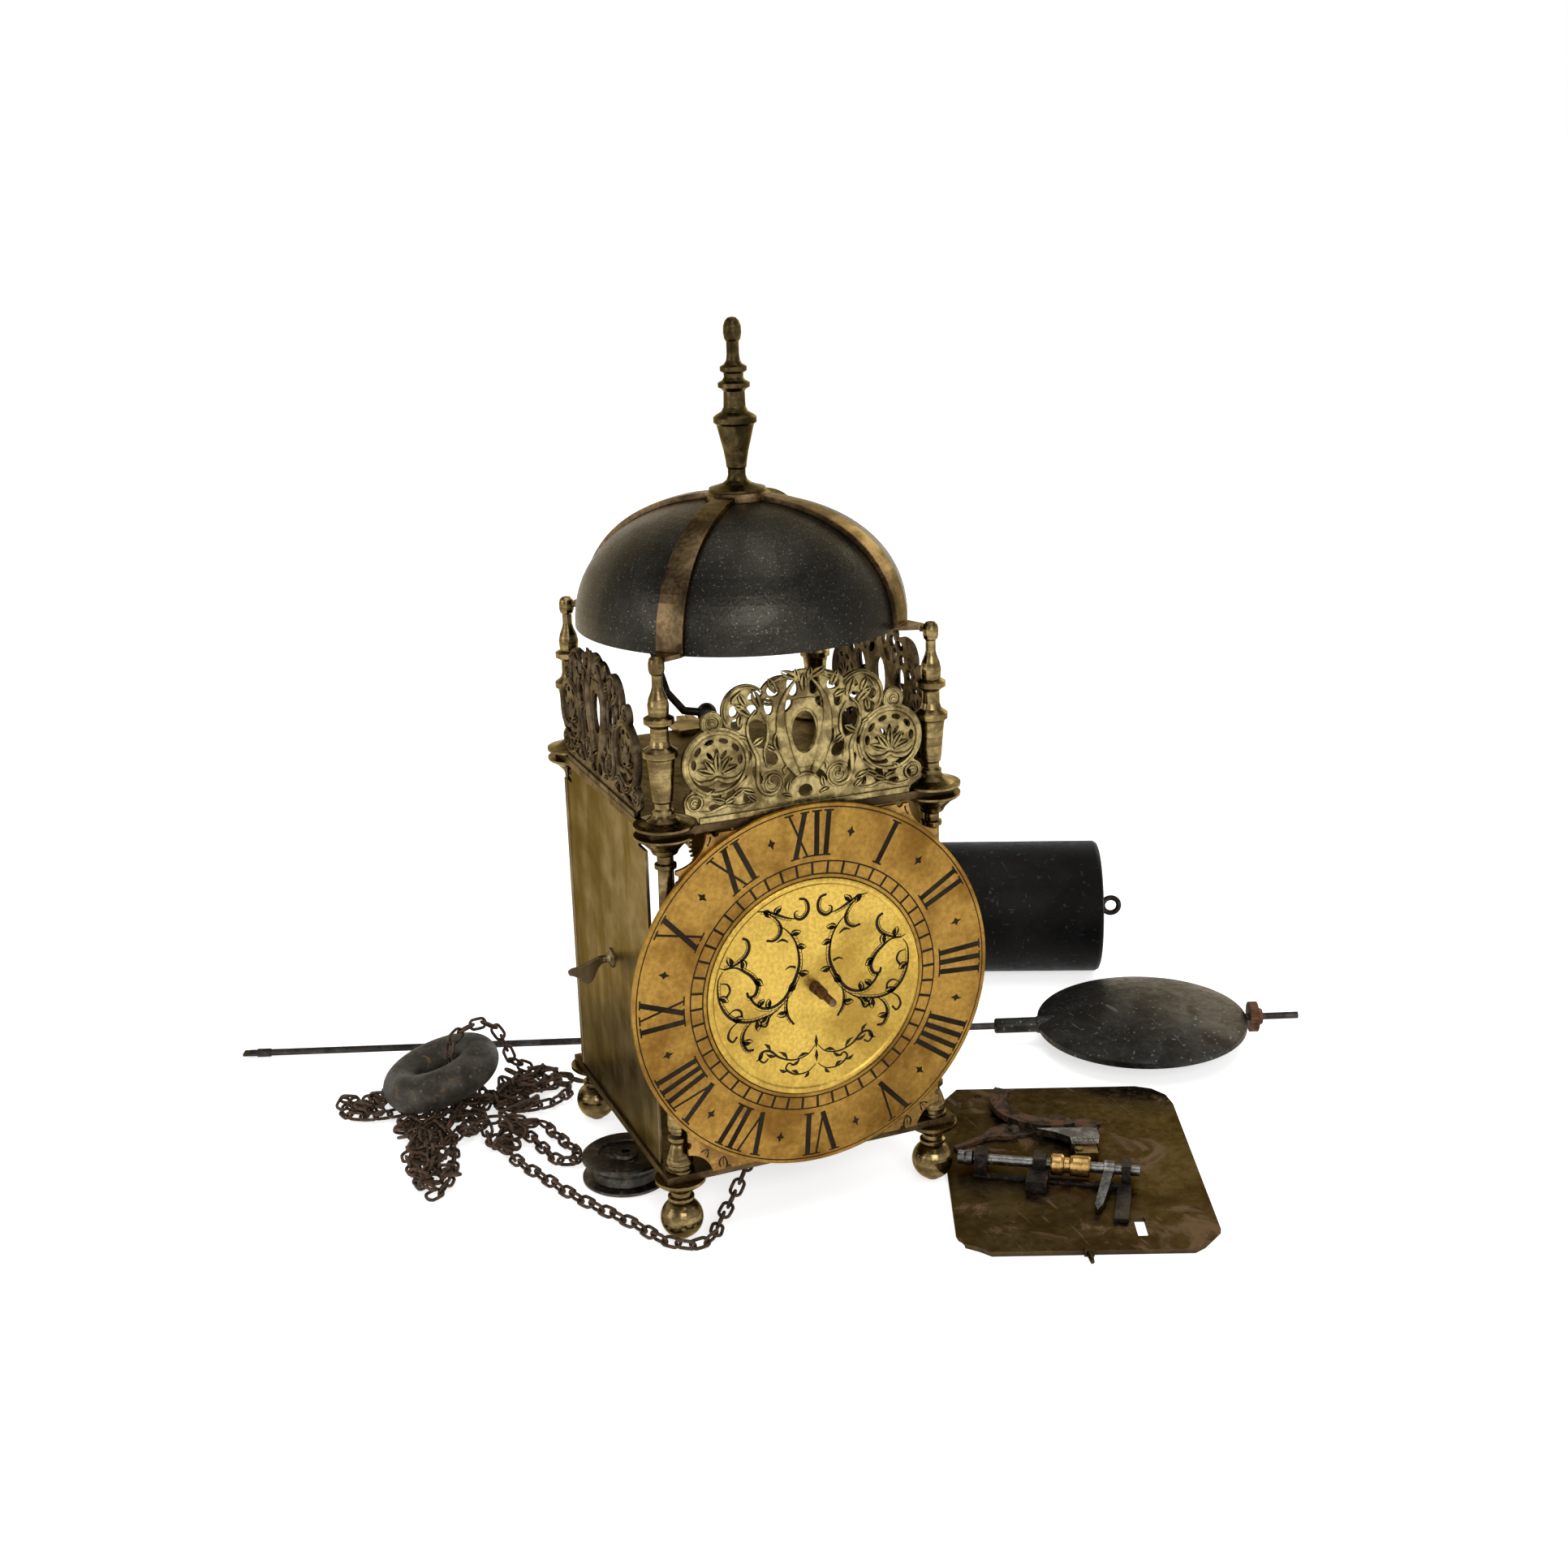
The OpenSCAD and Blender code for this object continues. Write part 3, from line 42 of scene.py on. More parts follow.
def W(x, y, z):
    """clock-centred millimetres to the frame in metres"""
    return Vector(((x + SX) / 1000, (y + SY) / 1000, z / 1000))


scene = bpy.context.scene
coll = scene.collection

# ---------------------------------------------------------------- camera
# fitted to the photograph: the picture's axes, the focal length and the place
right = Vector((0.9226, -0.3849, -0.0262)).normalized()
down = Vector((-0.1408, -0.2728, -0.9518))
up = -(down - right * down.dot(right)).normalized()
back = right.cross(up)
cam_d = bpy.data.cameras.new("camera")
cam_d.sensor_width = 36
cam_d.lens = 45.77
cam_d.clip_start = 0.01
cam_d.clip_end = 50
cam = bpy.data.objects.new("camera", cam_d)
coll.objects.link(cam)
cam.matrix_world = Matrix((
    (right.x, up.x, back.x, 0), (right.y, up.y, back.y, 0), (right.z, up.z, back.z, 0), (0, 0, 0, 1)))
cam.location = W(-311.0, -808.0, 461.3)
scene.camera = cam
scene.view_settings.view_transform = "Standard"
scene.view_settings.look = "None"


# ---------------------------------------------------------------- node helpers
class G:
    """short forms for the shader nodes of a material or a world"""

    def __init__(self, owner):
        self.n, self.l = owner.node_tree.nodes, owner.node_tree.links

    def add(self, kind, **k):
        x = self.n.new(kind)
        for a, b in k.items():
            setattr(x, a, b)
        return x

    def link(self, a, b):
        self.l.new(a, b)

    def coords(self, scale=(1, 1, 1), rot=(0, 0, 0)):
        c = self.add("ShaderNodeTexCoord")
        m = self.add("ShaderNodeMapping")
        m.inputs["Scale"].default_value = scale
        m.inputs["Rotation"].default_value = rot
        self.link(c.outputs["Object"], m.inputs["Vector"])
        return m.outputs["Vector"]

    def noise(self, vec, scale, detail=5, rough=0.6, dist=0.0):
        x = self.add("ShaderNodeTexNoise")
        x.inputs["Scale"].default_value = scale
        x.inputs["Detail"].default_value = detail
        x.inputs["Roughness"].default_value = rough
        x.inputs["Distortion"].default_value = dist
        self.link(vec, x.inputs["Vector"])
        return x.outputs["Fac"]

    def voro(self, vec, scale):
        x = self.add("ShaderNodeTexVoronoi", feature="F1")
        x.inputs["Scale"].default_value = scale
        self.link(vec, x.inputs["Vector"])
        return x.outputs["Distance"]

    def ramp(self, fac, a, b, lo=0.0, hi=1.0):
        x = self.add("ShaderNodeMapRange")
        x.interpolation_type = "SMOOTHSTEP"
        for i, v in zip(("From Min", "From Max", "To Min", "To Max"), (a, b, lo, hi)):
            x.inputs[i].default_value = v
        self.link(fac, x.inputs["Value"])
        return x.outputs["Result"]

    def mix(self, fac, a, b):
        x = self.add("ShaderNodeMix", data_type="RGBA", blend_type="MIX")
        f, A, B = x.inputs[0], x.inputs[6], x.inputs[7]
        for s, v in ((f, fac), (A, a), (B, b)):
            if isinstance(v, (int, float)):
                s.default_value = v
            elif isinstance(v, tuple):
                s.default_value = (*v[:3], 1)
            else:
                self.link(v, s)
        return x.outputs[2]

    def math(self, op, a, b=0.0):
        x = self.add("ShaderNodeMath", operation=op)
        for s, v in zip(x.inputs, (a, b)):
            if isinstance(v, (int, float)):
                s.default_value = v
            else:
                self.link(v, s)
        return x.outputs[0]


RUST_ROUGH, RUST_METALLIC = 0.85, 0.15
BUMP_DEPTH = 0.0004             # metres


def metal(name, hi, lo, crevice_shade_col=(0.05, 0.035, 0.02), rough=(0.3, 0.55), big=45, fine=500, bal=0.5,
          bump=0.12, metallic=1.0, speck=None, speck_n=700, speck_amt=0.25, streak=None, rust=None,
          rust_at=0.62, crevice_shade=0.75, crevice_shade_reach=0.004, edge=0.0003, scratch=0.0, tint=(0.8, 0.68, 0.5), spec=0.5):
    """aged metal: two tones in patches, fine grain, painted shade in the corners (the colour darkened where
    the ambient-occlusion node finds other surfaces close by), edges rounded in the shading normal, optional
    specks, streaks, rust and scratches; all sizes in metres"""
    mat = bpy.data.materials.new(name)
    mat.use_nodes = True
    g = G(mat)
    bsdf = g.n["Principled BSDF"]
    vec = g.coords()
    n1 = g.noise(vec, big, 6, 0.62, 0.4)
    n2 = g.noise(vec, fine, 4, 0.6)
    f = g.ramp(n1, bal - 0.14, bal + 0.14)
    col = g.mix(f, lo, hi)
    if streak:
        sv = g.coords(scale=streak)
        s = g.noise(sv, 1.0, 5, 0.6, 0.2)
        col = g.mix(g.ramp(s, 0.38, 0.64, 0.0, 0.75), col, lo)
        col = g.mix(g.ramp(s, 0.50, 0.28, 0.0, 0.45), col, hi)
    col = g.mix(g.ramp(n2, 0.35, 0.65, 0.0, 0.38), col, tuple(0.45 * c for c in lo))
    if speck:
        v = g.voro(vec, speck_n)
        n3 = g.noise(vec, speck_n * 0.7, 3, 0.7)
        col = g.mix(g.math("MULTIPLY", g.ramp(v, 0.34, 0.16), g.ramp(n3, 0.5, 0.62, 0.0, speck_amt)),
                    col, speck)
    rust_f = None
    if rust:
        n4 = g.noise(vec, big * 1.7, 8, 0.7, 0.8)
        rust_f = g.ramp(n4, rust_at - 0.08, rust_at + 0.06)
        col = g.mix(rust_f, col, rust)
    if scratch:
        a = g.coords(scale=(160, 30, 900), rot=(0.3, 0.5, 0.9))
        b = g.coords(scale=(900, 40, 160), rot=(1.1, 0.2, 0.4))
        s = g.math("MAXIMUM", g.noise(a, 1, 2, 0.5), g.noise(b, 1, 2, 0.5))
        col = g.mix(g.ramp(s, 0.69, 0.74, 0.0, scratch), col, tuple(min(1, 2.2 * c + 0.08) for c in hi))
    # painted shade: where the ambient-occlusion node finds other surfaces within the given reach (corners,
    # creases, between parts), the colour is pulled toward a dark shade colour
    if crevice_shade:
        ao = g.add("ShaderNodeAmbientOcclusion", samples=6)
        ao.inputs["Distance"].default_value = crevice_shade_reach
        m = g.ramp(ao.outputs["AO"], 0.35, 0.9, crevice_shade, 0.0)
        col = g.mix(m, col, crevice_shade_col)
    g.link(col, bsdf.inputs["Base Color"])
    bsdf.inputs["Metallic"].default_value = metallic
    bsdf.inputs["Specular Tint"].default_value = (*tint, 1)
    bsdf.inputs["Specular IOR Level"].default_value = spec
    r = g.ramp(g.math("ADD", g.math("MULTIPLY", n1, 0.5), g.math("MULTIPLY", n2, 0.5)),
               0.35, 0.65, rough[1], rough[0])
    if rust_f is not None:
        x = g.add("ShaderNodeMix", data_type="FLOAT")
        g.link(rust_f, x.inputs[0])
        g.link(r, x.inputs[2])
        x.inputs[3].default_value = RUST_ROUGH
        r = x.outputs[0]
        g.link(g.ramp(rust_f, 0, 1, metallic, RUST_METALLIC), bsdf.inputs["Metallic"])
    g.link(r, bsdf.inputs["Roughness"])
    bp = g.add("ShaderNodeBump")
    bp.inputs["Strength"].default_value = bump
    bp.inputs["Distance"].default_value = BUMP_DEPTH
    g.link(g.math("ADD", g.math("MULTIPLY", n2, 0.6), g.math("MULTIPLY", g.noise(vec, big * 3, 4), 0.9)),
           bp.inputs["Height"])
    if edge:
        bv = g.add("ShaderNodeBevel", samples=4)
        bv.inputs["Radius"].default_value = edge
        g.link(bv.outputs["Normal"], bp.inputs["Normal"])
    g.link(bp.outputs["Normal"], bsdf.inputs["Normal"])
    return mat


# in the materials below, the corner-darkening amount, its reach and its dark colour paint shade into the
# corners
M = {}
M["case"] = metal("aged_case_brass", (0.3, 0.21, 0.085), (0.1, 0.065, 0.026), rough=(0.24, 0.5), big=60,
                  crevice_shade_reach=0.005)
M["pillar"] = metal("aged_turned_brass", (0.34, 0.25, 0.105), (0.09, 0.06, 0.024), crevice_shade_col=(0.025, 0.017, 0.008),
                    rough=(0.13, 0.34), big=90, crevice_shade=0.9, crevice_shade_reach=0.005, streak=(40, 40, 420))
M["finial_top"] = metal("dark_turned_brass", (0.10, 0.072, 0.029), (0.022, 0.015, 0.006),
                        crevice_shade_col=(0.02, 0.014, 0.006), rough=(0.18, 0.42), big=90, crevice_shade=0.9, crevice_shade_reach=0.005)
# the frame plates' brass is painted darker than the case brass: partly its own dull tone, partly painted
# shade standing in for the shade over the plates
M["plate"] = metal("plate_brass_with_painted_shade", (0.125, 0.08, 0.036), (0.042, 0.026, 0.012), rough=(0.34, 0.6), big=40)
M["fret_front"] = metal("pale_fret_brass", (0.47, 0.37, 0.16), (0.14, 0.1, 0.04), crevice_shade_col=(0.03, 0.022, 0.009),
                        rough=(0.24, 0.48), big=130, bump=0.5, crevice_shade=1.0, crevice_shade_reach=0.0034, edge=0.0006)
M["fret_side"] = metal("dark_fret_brass", (0.15, 0.11, 0.065), (0.05, 0.034, 0.02), crevice_shade_col=(0.015, 0.01, 0.006),
                       rough=(0.35, 0.6), big=120, bump=0.45, crevice_shade=0.9, crevice_shade_reach=0.003, edge=0.0006)
M["bell"] = metal("bell_patina", (0.036, 0.034, 0.028), (0.013, 0.0125, 0.011), crevice_shade_col=(0.012, 0.011, 0.009),
                  rough=(0.22, 0.4), big=26, fine=900, bump=0.8, metallic=0.75, speck=(0.24, 0.23, 0.18),
                  speck_n=950, speck_amt=0.6, crevice_shade=0.4, rust=(0.10, 0.07, 0.035), rust_at=0.7, edge=0,
                  spec=0.4)
M["strap"] = metal("bronze_strap", (0.18, 0.12, 0.06), (0.05, 0.032, 0.017), rough=(0.2, 0.4), big=60,
                   crevice_shade=0.5, edge=0.0006)
M["dial_plate"] = metal("gilt_corner_brass", (0.46, 0.27, 0.075), (0.2, 0.105, 0.03), rough=(0.3, 0.5),
                        big=80, bump=0.3)
M["ring"] = metal("golden_brown_ring", (0.37, 0.21, 0.045), (0.185, 0.09, 0.017), rough=(0.28, 0.46), big=30,
                  fine=420, bump=0.1, crevice_shade=0.3, edge=0.0004, bal=0.47)
M["centre"] = metal("bright_dial_centre", (0.62, 0.42, 0.085), (0.36, 0.22, 0.04), rough=(0.26, 0.42), big=24,
                    fine=600, bump=0.06, crevice_shade=0.35, edge=0.0004, bal=0.45)
M["wax"] = metal("black_wax", (0.03, 0.022, 0.015), (0.012, 0.009, 0.006), rough=(0.5, 0.7), metallic=0.0,
                 crevice_shade=0, edge=0, spec=0.12)
M["door"] = metal("polished_door_brass", (0.27, 0.205, 0.115), (0.10, 0.07, 0.036), rough=(0.3, 0.42), big=14,
                  fine=70, bump=0.02, streak=(50, 50, 7), crevice_shade=0.4, edge=0.0004, tint=(0.5, 0.43, 0.32))
M["bar"] = metal("bar_brass", (0.40, 0.28, 0.12), (0.18, 0.115, 0.045), rough=(0.3, 0.5), big=50)
M["wheel"] = metal("wheel_brass", (0.55, 0.40, 0.17), (0.30, 0.2, 0.075), rough=(0.24, 0.42), big=60,
                   crevice_shade_reach=0.002)
M["steel"] = metal("dark_arbor_steel", (0.22, 0.21, 0.195), (0.09, 0.083, 0.076), crevice_shade_col=(0.03, 0.02, 0.015),
                   rough=(0.28, 0.5), big=90, rust=(0.11, 0.05, 0.025), rust_at=0.66)
M["hand_arbor"] = metal("brown_arbor", (0.22, 0.14, 0.095), (0.08, 0.045, 0.03), rough=(0.35, 0.55), big=140,
                        rust=(0.12, 0.05, 0.025), rust_at=0.6)
M["iron"] = metal("black_iron", (0.065, 0.058, 0.052), (0.022, 0.019, 0.017), crevice_shade_col=(0.012, 0.01, 0.008),
                  rough=(0.4, 0.65), big=80, rust=(0.085, 0.04, 0.022), rust_at=0.62, bump=0.4)
M["back_plate"] = metal("dark_back_plate", (0.115, 0.083, 0.045), (0.054, 0.038, 0.021),
                        crevice_shade_col=(0.02, 0.013, 0.007), rough=(0.26, 0.5), big=20, fine=260, bump=0.14, crevice_shade=0.7,
                        crevice_shade_reach=0.006, rust=(0.13, 0.07, 0.024), rust_at=0.62, scratch=0.3,
                        tint=(0.45, 0.38, 0.27))
M["hoop"] = metal("dark_brown_iron", (0.095, 0.08, 0.062), (0.034, 0.027, 0.021), rough=(0.4, 0.65), big=90,
                  rust=(0.10, 0.042, 0.02), rust_at=0.52, bump=0.5)
M["wear_steel"] = metal("worn_steel", (0.34, 0.33, 0.31), (0.12, 0.112, 0.105), rough=(0.22, 0.42), big=120,
                        rust=(0.15, 0.075, 0.035), rust_at=0.66)
M["collet"] = metal("bright_collet", (0.74, 0.48, 0.17), (0.42, 0.24, 0.08), rough=(0.22, 0.4), big=130)
M["rod"] = metal("blackened_rod", (0.07, 0.066, 0.063), (0.026, 0.024, 0.023), rough=(0.34, 0.55), big=70,
                 rust=(0.08, 0.04, 0.022), rust_at=0.66)
M["bob"] = metal("dark_lead_bob", (0.042, 0.042, 0.038), (0.013, 0.013, 0.012), crevice_shade_col=(0.012, 0.012, 0.011),
                 rough=(0.34, 0.55), big=50, fine=420, bump=0.45, metallic=0.7, speck=(0.36, 0.35, 0.32),
                 speck_n=380, speck_amt=0.35, crevice_shade=0.3, scratch=0.6, edge=0.0008, spec=0.3)
M["rust"] = metal("rusty_iron", (0.20, 0.085, 0.04), (0.08, 0.036, 0.02), rough=(0.5, 0.8), big=200,
                  metallic=0.35, bump=0.6)
M["weight"] = metal("black_weight", (0.01, 0.01, 0.0105), (0.004, 0.004, 0.0045), crevice_shade_col=(0.004, 0.004, 0.004),
                    rough=(0.4, 0.6), big=22, fine=260, bump=0.35, metallic=0.0, speck=(0.13, 0.13, 0.13),
                    speck_n=260, speck_amt=0.2, crevice_shade=0.2, scratch=0.25, edge=0.0012, spec=0.08)
M["lead"] = metal("mottled_lead", (0.066, 0.06, 0.05), (0.021, 0.019, 0.015), crevice_shade_col=(0.03, 0.026, 0.019),
                  rough=(0.45, 0.7), big=90, fine=600, bump=0.8, metallic=0.25, speck=(0.42, 0.40, 0.35),
                  speck_n=300, speck_amt=0.18, crevice_shade=0.8, rust=(0.14, 0.075, 0.038), rust_at=0.64, edge=0)
M["pulley"] = metal("dark_pulley", (0.13, 0.122, 0.105), (0.05, 0.046, 0.04), rough=(0.3, 0.5), big=110,
                    rust=(0.09, 0.05, 0.026), rust_at=0.62)
M["chain"] = metal("rusty_chain", (0.105, 0.072, 0.052), (0.036, 0.025, 0.019), crevice_shade_col=(0.012, 0.008, 0.006),
                   rough=(0.42, 0.72), big=260, fine=1600, bump=0.6, metallic=0.6, rust=(0.125, 0.062, 0.032),
                   rust_at=0.56, crevice_shade=0.6, crevice_shade_reach=0.003, edge=0)

ASSIGN = {
    "bottom_plate": "plate", "top_plate": "plate", "front_fret": "fret_front", "left_fret": "fret_side",
    "right_fret": "fret_side", "bell": "bell", "bell_strap": "strap", "bell_finial": "finial_top",
    "bell_nut": "case", "dial_plate": "dial_plate", "chapter_ring": "ring", "dial_centre": "centre",
    "hour_wheel": "hand_arbor", "left_door": "door", "right_door": "door", "front_bar": "bar",
    "middle_bar": "bar", "rear_bar": "bar", "anchor": "steel", "back_cock": "case", "fly": "wheel",
    "lifting_arbor": "steel", "hammer": "iron", "hammer_spring": "steel", "back_plate": "back_plate",
    "alarm_strap": "hoop", "alarm_cocks": "iron", "alarm_arbor": "wear_steel", "alarm_collets": "collet",
    "alarm_hammer": "wear_steel", "alarm_block": "case", "pendulum_rod": "rod", "pendulum_bob": "bob",
    "rating_nut": "rust", "driving_weight": "weight", "weight_eye": "iron", "ring_weight": "lead",
    "chain_pulley": "pulley", "chain_heap": "chain", "chain_strand": "chain", "chain_return": "chain"}
for n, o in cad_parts.items():
    key = ASSIGN.get(n) or ("pillar" if n.startswith(("foot", "pillar", "finial")) else "wheel")
    o.data.materials.clear()
    o.data.materials.append(M[key])


# ---------------------------------------------------------------- pieces
def piece(name, bm, mat):
    """a mesh in one material, on the clock's frame"""
    me = bpy.data.meshes.new(name)
    bm.to_mesh(me)
    bm.free()
    o = bpy.data.objects.new(name, me)
    coll.objects.link(o)
    me.materials.append(mat)
    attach(o, "frame")
    return o


# ---------------------------------------------------------------- chain of round wire
PITCH, WIRE_R = 6.9, 0.8
LINK_TURN = (20, 110)           # degrees about the run, link by link
fl = 3.4                        # height of a chain lying on the floor
l2 = fl + 6.85                  # and of a second layer
DRUM_R, DRUM_Z, GOING_Y, STRIKE_Y = 12, 70.0, -34, 41
RING_C, RING_AZ, RING_TILT = (-131, 100, 22.6), -22.6, 17


def spline(p, n=6):
    """Catmull-Rom points through p"""
    p = [Vector(q) for q in p]
    m, o = len(p), []
    for i in range(m - 1):
        a, b, c, d = p[max(0, i - 1)], p[i], p[i + 1], p[min(m - 1, i + 2)]
        for k in range(n):
            t = k / n
            o.append(0.5 * (2 * b + (c - a) * t + (2 * a - 5 * b + 4 * c - d) * t * t
                            + (3 * b - a - 3 * c + d) * t ** 3))
    return o + [p[-1]]


def stations(route):
    """points at equal steps of one link along a route"""
    q = spline(route)
    L = [0.0]
    for a, b in zip(q, q[1:]):
        L.append(L[-1] + (b - a).length)
    out, i = [], 0
    for k in range(int(L[-1] // PITCH) + 1):
        s = k * PITCH
        while i < len(L) - 2 and L[i + 1] < s:
            i += 1
        t = (s - L[i]) / (L[i + 1] - L[i])
        out.append(q[i] + (q[i + 1] - q[i]) * t)
    return out


def coil(c, a, b, w, n, z, ph=0):
    """n turns of an oval with half axes a and b, turned by w, that winds inwards"""
    o = []
    for i in range(int(12 * n) + 1):
        t = 30 * i + ph
        e = 7.6 * i / 12 + 0.5 * sin(67 * i)
        o.append((c[0] + (a - e) * cos(t) * cos(w) - (b - e) * sin(t) * sin(w),
                  c[1] + (a - e) * cos(t) * sin(w) + (b - e) * sin(t) * cos(w), z))
    return o


def link_ring(N=22, K=8, r=WIRE_R, R=2.5, S=3.8):
    """one link: N sections of K points, end radius R, straight part S"""
    path = []
    for i in range(N):
        t = 360 * i / N - 90
        sx = S / 2 if cos(t) > 1e-6 else (-S / 2 if cos(t) < -1e-6 else 0)
        path.append((Vector((R * cos(t) + sx, R * sin(t), 0)), Vector((cos(t), sin(t), 0))))
    return [[p + n * (r * cos(360 * k / K)) + Vector((0, 0, r * sin(360 * k / K))) for k in range(K)]
            for p, n in path]


RING = link_ring()


def chain_mesh(name, routes):
    """one mesh of links along several routes"""
    bm = bmesh.new()
    for route in routes:
        P = stations(route)
        for k in range(len(P) - 1):
            d = P[k + 1] - P[k]
            mid = (P[k] + P[k + 1]) / 2
            rot = (Matrix.Rotation(math.atan2(d.y, d.x), 3, "Z")
                   @ Matrix.Rotation(-math.asin(max(-1, min(1, d.z / d.length))), 3, "Y")
                   @ Matrix.Rotation(math.radians(LINK_TURN[k % 2]), 3, "X"))
            vs = [[bm.verts.new(W(*(mid + rot @ q))) for q in ring] for ring in RING]
            n, K = len(vs), len(vs[0])
            for i in range(n):
                for j in range(K):
                    f = bm.faces.new((vs[i][j], vs[(i + 1) % n][j], vs[(i + 1) % n][(j + 1) % K],
                                      vs[i][(j + 1) % K]))
                    f.smooth = True
    bm.normal_update()
    return piece(name, bm, M["chain"])


def ring_pt(rho, w, s):
    """a point at radius rho and angle w in the lead ring's plane, s above it"""
    p, q = rho * cos(w), rho * sin(w)
    h = p * cos(RING_TILT) - s * sin(RING_TILT)
    return (RING_C[0] + h * cos(RING_AZ) - q * sin(RING_AZ), RING_C[1] + h * sin(RING_AZ) + q * cos(RING_AZ),
            RING_C[2] + p * sin(RING_TILT) + s * cos(RING_TILT))


def over_drum(y, angles):
    """half a turn of chain over a drum at depth y"""
    return [(DRUM_R * cos(a), y, DRUM_Z + DRUM_R * sin(a)) for a in angles]


def zig(c, a, b, w, n, za, zb, ph=0.0):
    """a run of chain folded to and fro inside an oval, between two heights"""
    o = []
    for i in range(n + 1):
        u = -a + 2 * a * i / n
        v = b * (0.8 if i % 2 else -0.8) * math.sqrt(max(0.12, 1 - (u / a) ** 2))
        o.append((c[0] + u * cos(w) - v * sin(w), c[1] + u * sin(w) + v * cos(w),
                  za + (zb - za) * (0.5 + 0.5 * sin(97 * i + ph))))
    return o


# folds between the turns, which make the heap as thick as the real one
FOLDS = [
    zig((-157, 112), 23, 11, -8, 9, fl, l2, 20), zig((-158, 113), 17, 8, 30, 7, fl + 2, l2, 80),
    zig((-150, 50), 36, 10, 76, 13, fl, l2 - 1, 0), zig((-151, 46), 30, 8, 100, 10, fl + 2, l2, 50),
    zig((-97, 84), 32, 13, 78, 11, fl, l2, 60), zig((-92, 98), 20, 12, 20, 8, fl + 1, l2, 120),
    zig((-124, 96), 20, 17, -20, 8, fl, 8, 30), zig((-121, 92), 17, 15, 60, 7, fl, 9, 90),
    zig((-132, 74), 24, 8, -18, 9, fl, 9, 10), zig((-150, 86), 14, 8, 60, 6, fl, 9, 70),
    zig((-124, 60), 24, 9, -24, 9, fl, l2, 40), zig((-110, 50), 17, 8, 62, 7, fl, 9, 0)]
# chain over the lead ring: radius and height of each point
OVER_RING = ((37, -12), (36.6, 2), (31.6, 11), (20.5, 13.8), (10.5, 11.4), (6.8, 2), (6.4, -8))
heap = chain_mesh("chain_heap_links", FOLDS + [
    coil((-157, 112), 26, 13.5, -8, 1, fl), coil((-149.6, 50), 38.5, 13, 76, 1, fl, 180),
    coil((-153.6, 45), 26, 8, 76, 1, l2, 90), coil((-84, 93), 25, 17.6, 10, 1.5, fl),
    coil((-82, 94), 16, 12, 10, 1, l2, 40),
    [(-64, 106, fl), (-73, 111, fl + 2), (-83, 112.5, 9.6), (-90, 111, 14.6)]
    + [ring_pt(rho, 38, h) for rho, h in OVER_RING]])
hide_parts("chain_heap")
strand = chain_mesh("chain_strand_links", [
    [(-109.9, 60.4, fl), (-113.3, 34, fl), (-104.8, 6.7, fl), (-98.7, -11.2, fl), (-91, -28.7, fl),
     (-83.3, -44.2, fl), (-78.2, -55.2, fl), (-73.6, -67.6, fl), (-63.1, -78.6, fl), (-52, -75.2, fl),
     (-45.6, -66, fl + 0.7), (-35, -55, 8), (-23.5, -44, 16), (-14.5, -36.2, 24), (-12, -34, 31),
     (-12, -34, 40), (-12, -34, DRUM_Z - 6)]
    + over_drum(GOING_Y, range(180, -1, -30))
    + [(12, -34, DRUM_Z - 8), (12, -34, 34), (12.4, -33.4, 20), (13.2, -29.5, 9.8), (14.6, -23, fl + 1.7),
       (17, -12, fl + 0.2), (19, 6, fl), (17.4, 22, fl + 0.5), (14.6, 33, 7.6), (12.3, 40, 19), (12, 41, 31),
       (12, 41, DRUM_Z - 8)]
    + over_drum(STRIKE_Y, range(0, 181, 30))
    + [(-12, 41, DRUM_Z - 8), (-12, 41, 31), (-12.6, 40.4, 19), (-15, 37, 9.4), (-20.5, 31.6, fl + 1.4),
       (-30, 24, fl + 0.2), (-40, 20, fl)]])
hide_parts("chain_strand")
ret = chain_mesh("chain_return_links", [
    [(-104, 67, fl), (-99, 45, fl), (-96, 26, fl), (-92, 18, fl), (-84.5, 19, fl), (-84.4, 29, fl),
     (-88, 46, fl), (-91, 66, fl)]])
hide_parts("chain_return")

# ---------------------------------------------------------------- dial: wax and engraving
ZD = 112.3                      # height of the dial's centre
RING_Y = -73.9                  # faces of the chapter ring, the dial plate and the centre disc
PLATE_Y = -71.9
DISC_Y = PLATE_Y - 1.9
LIFT = 0.03                     # engraving before the metal
WAX_DEPTH = 0.19                # between the ring's face and the floor of its cuts, so it shows in them only


def face_mesh(name, polys, y, mat):
    """flat polygons in the dial's own plane (x to the right, z up from the dial centre)"""
    bm = bmesh.new()
    for p in polys:
        bm.faces.new([bm.verts.new(W(x, y, ZD + z)) for x, z in p])
    bm.normal_update()
    piece(name, bm, mat)


def annulus(r0, r1, n=128):
    """a flat ring of n quads"""
    q = []
    for i in range(n):
        a, b = 360 * i / n, 360 * (i + 1) / n
        q.append([(r0 * cos(a), r0 * sin(a)), (r1 * cos(a), r1 * sin(a)), (r1 * cos(b), r1 * sin(b)),
                  (r0 * cos(b), r0 * sin(b))])
    return q


face_mesh("numeral_wax", annulus(51.0, 82.3), RING_Y + WAX_DEPTH, M["wax"])


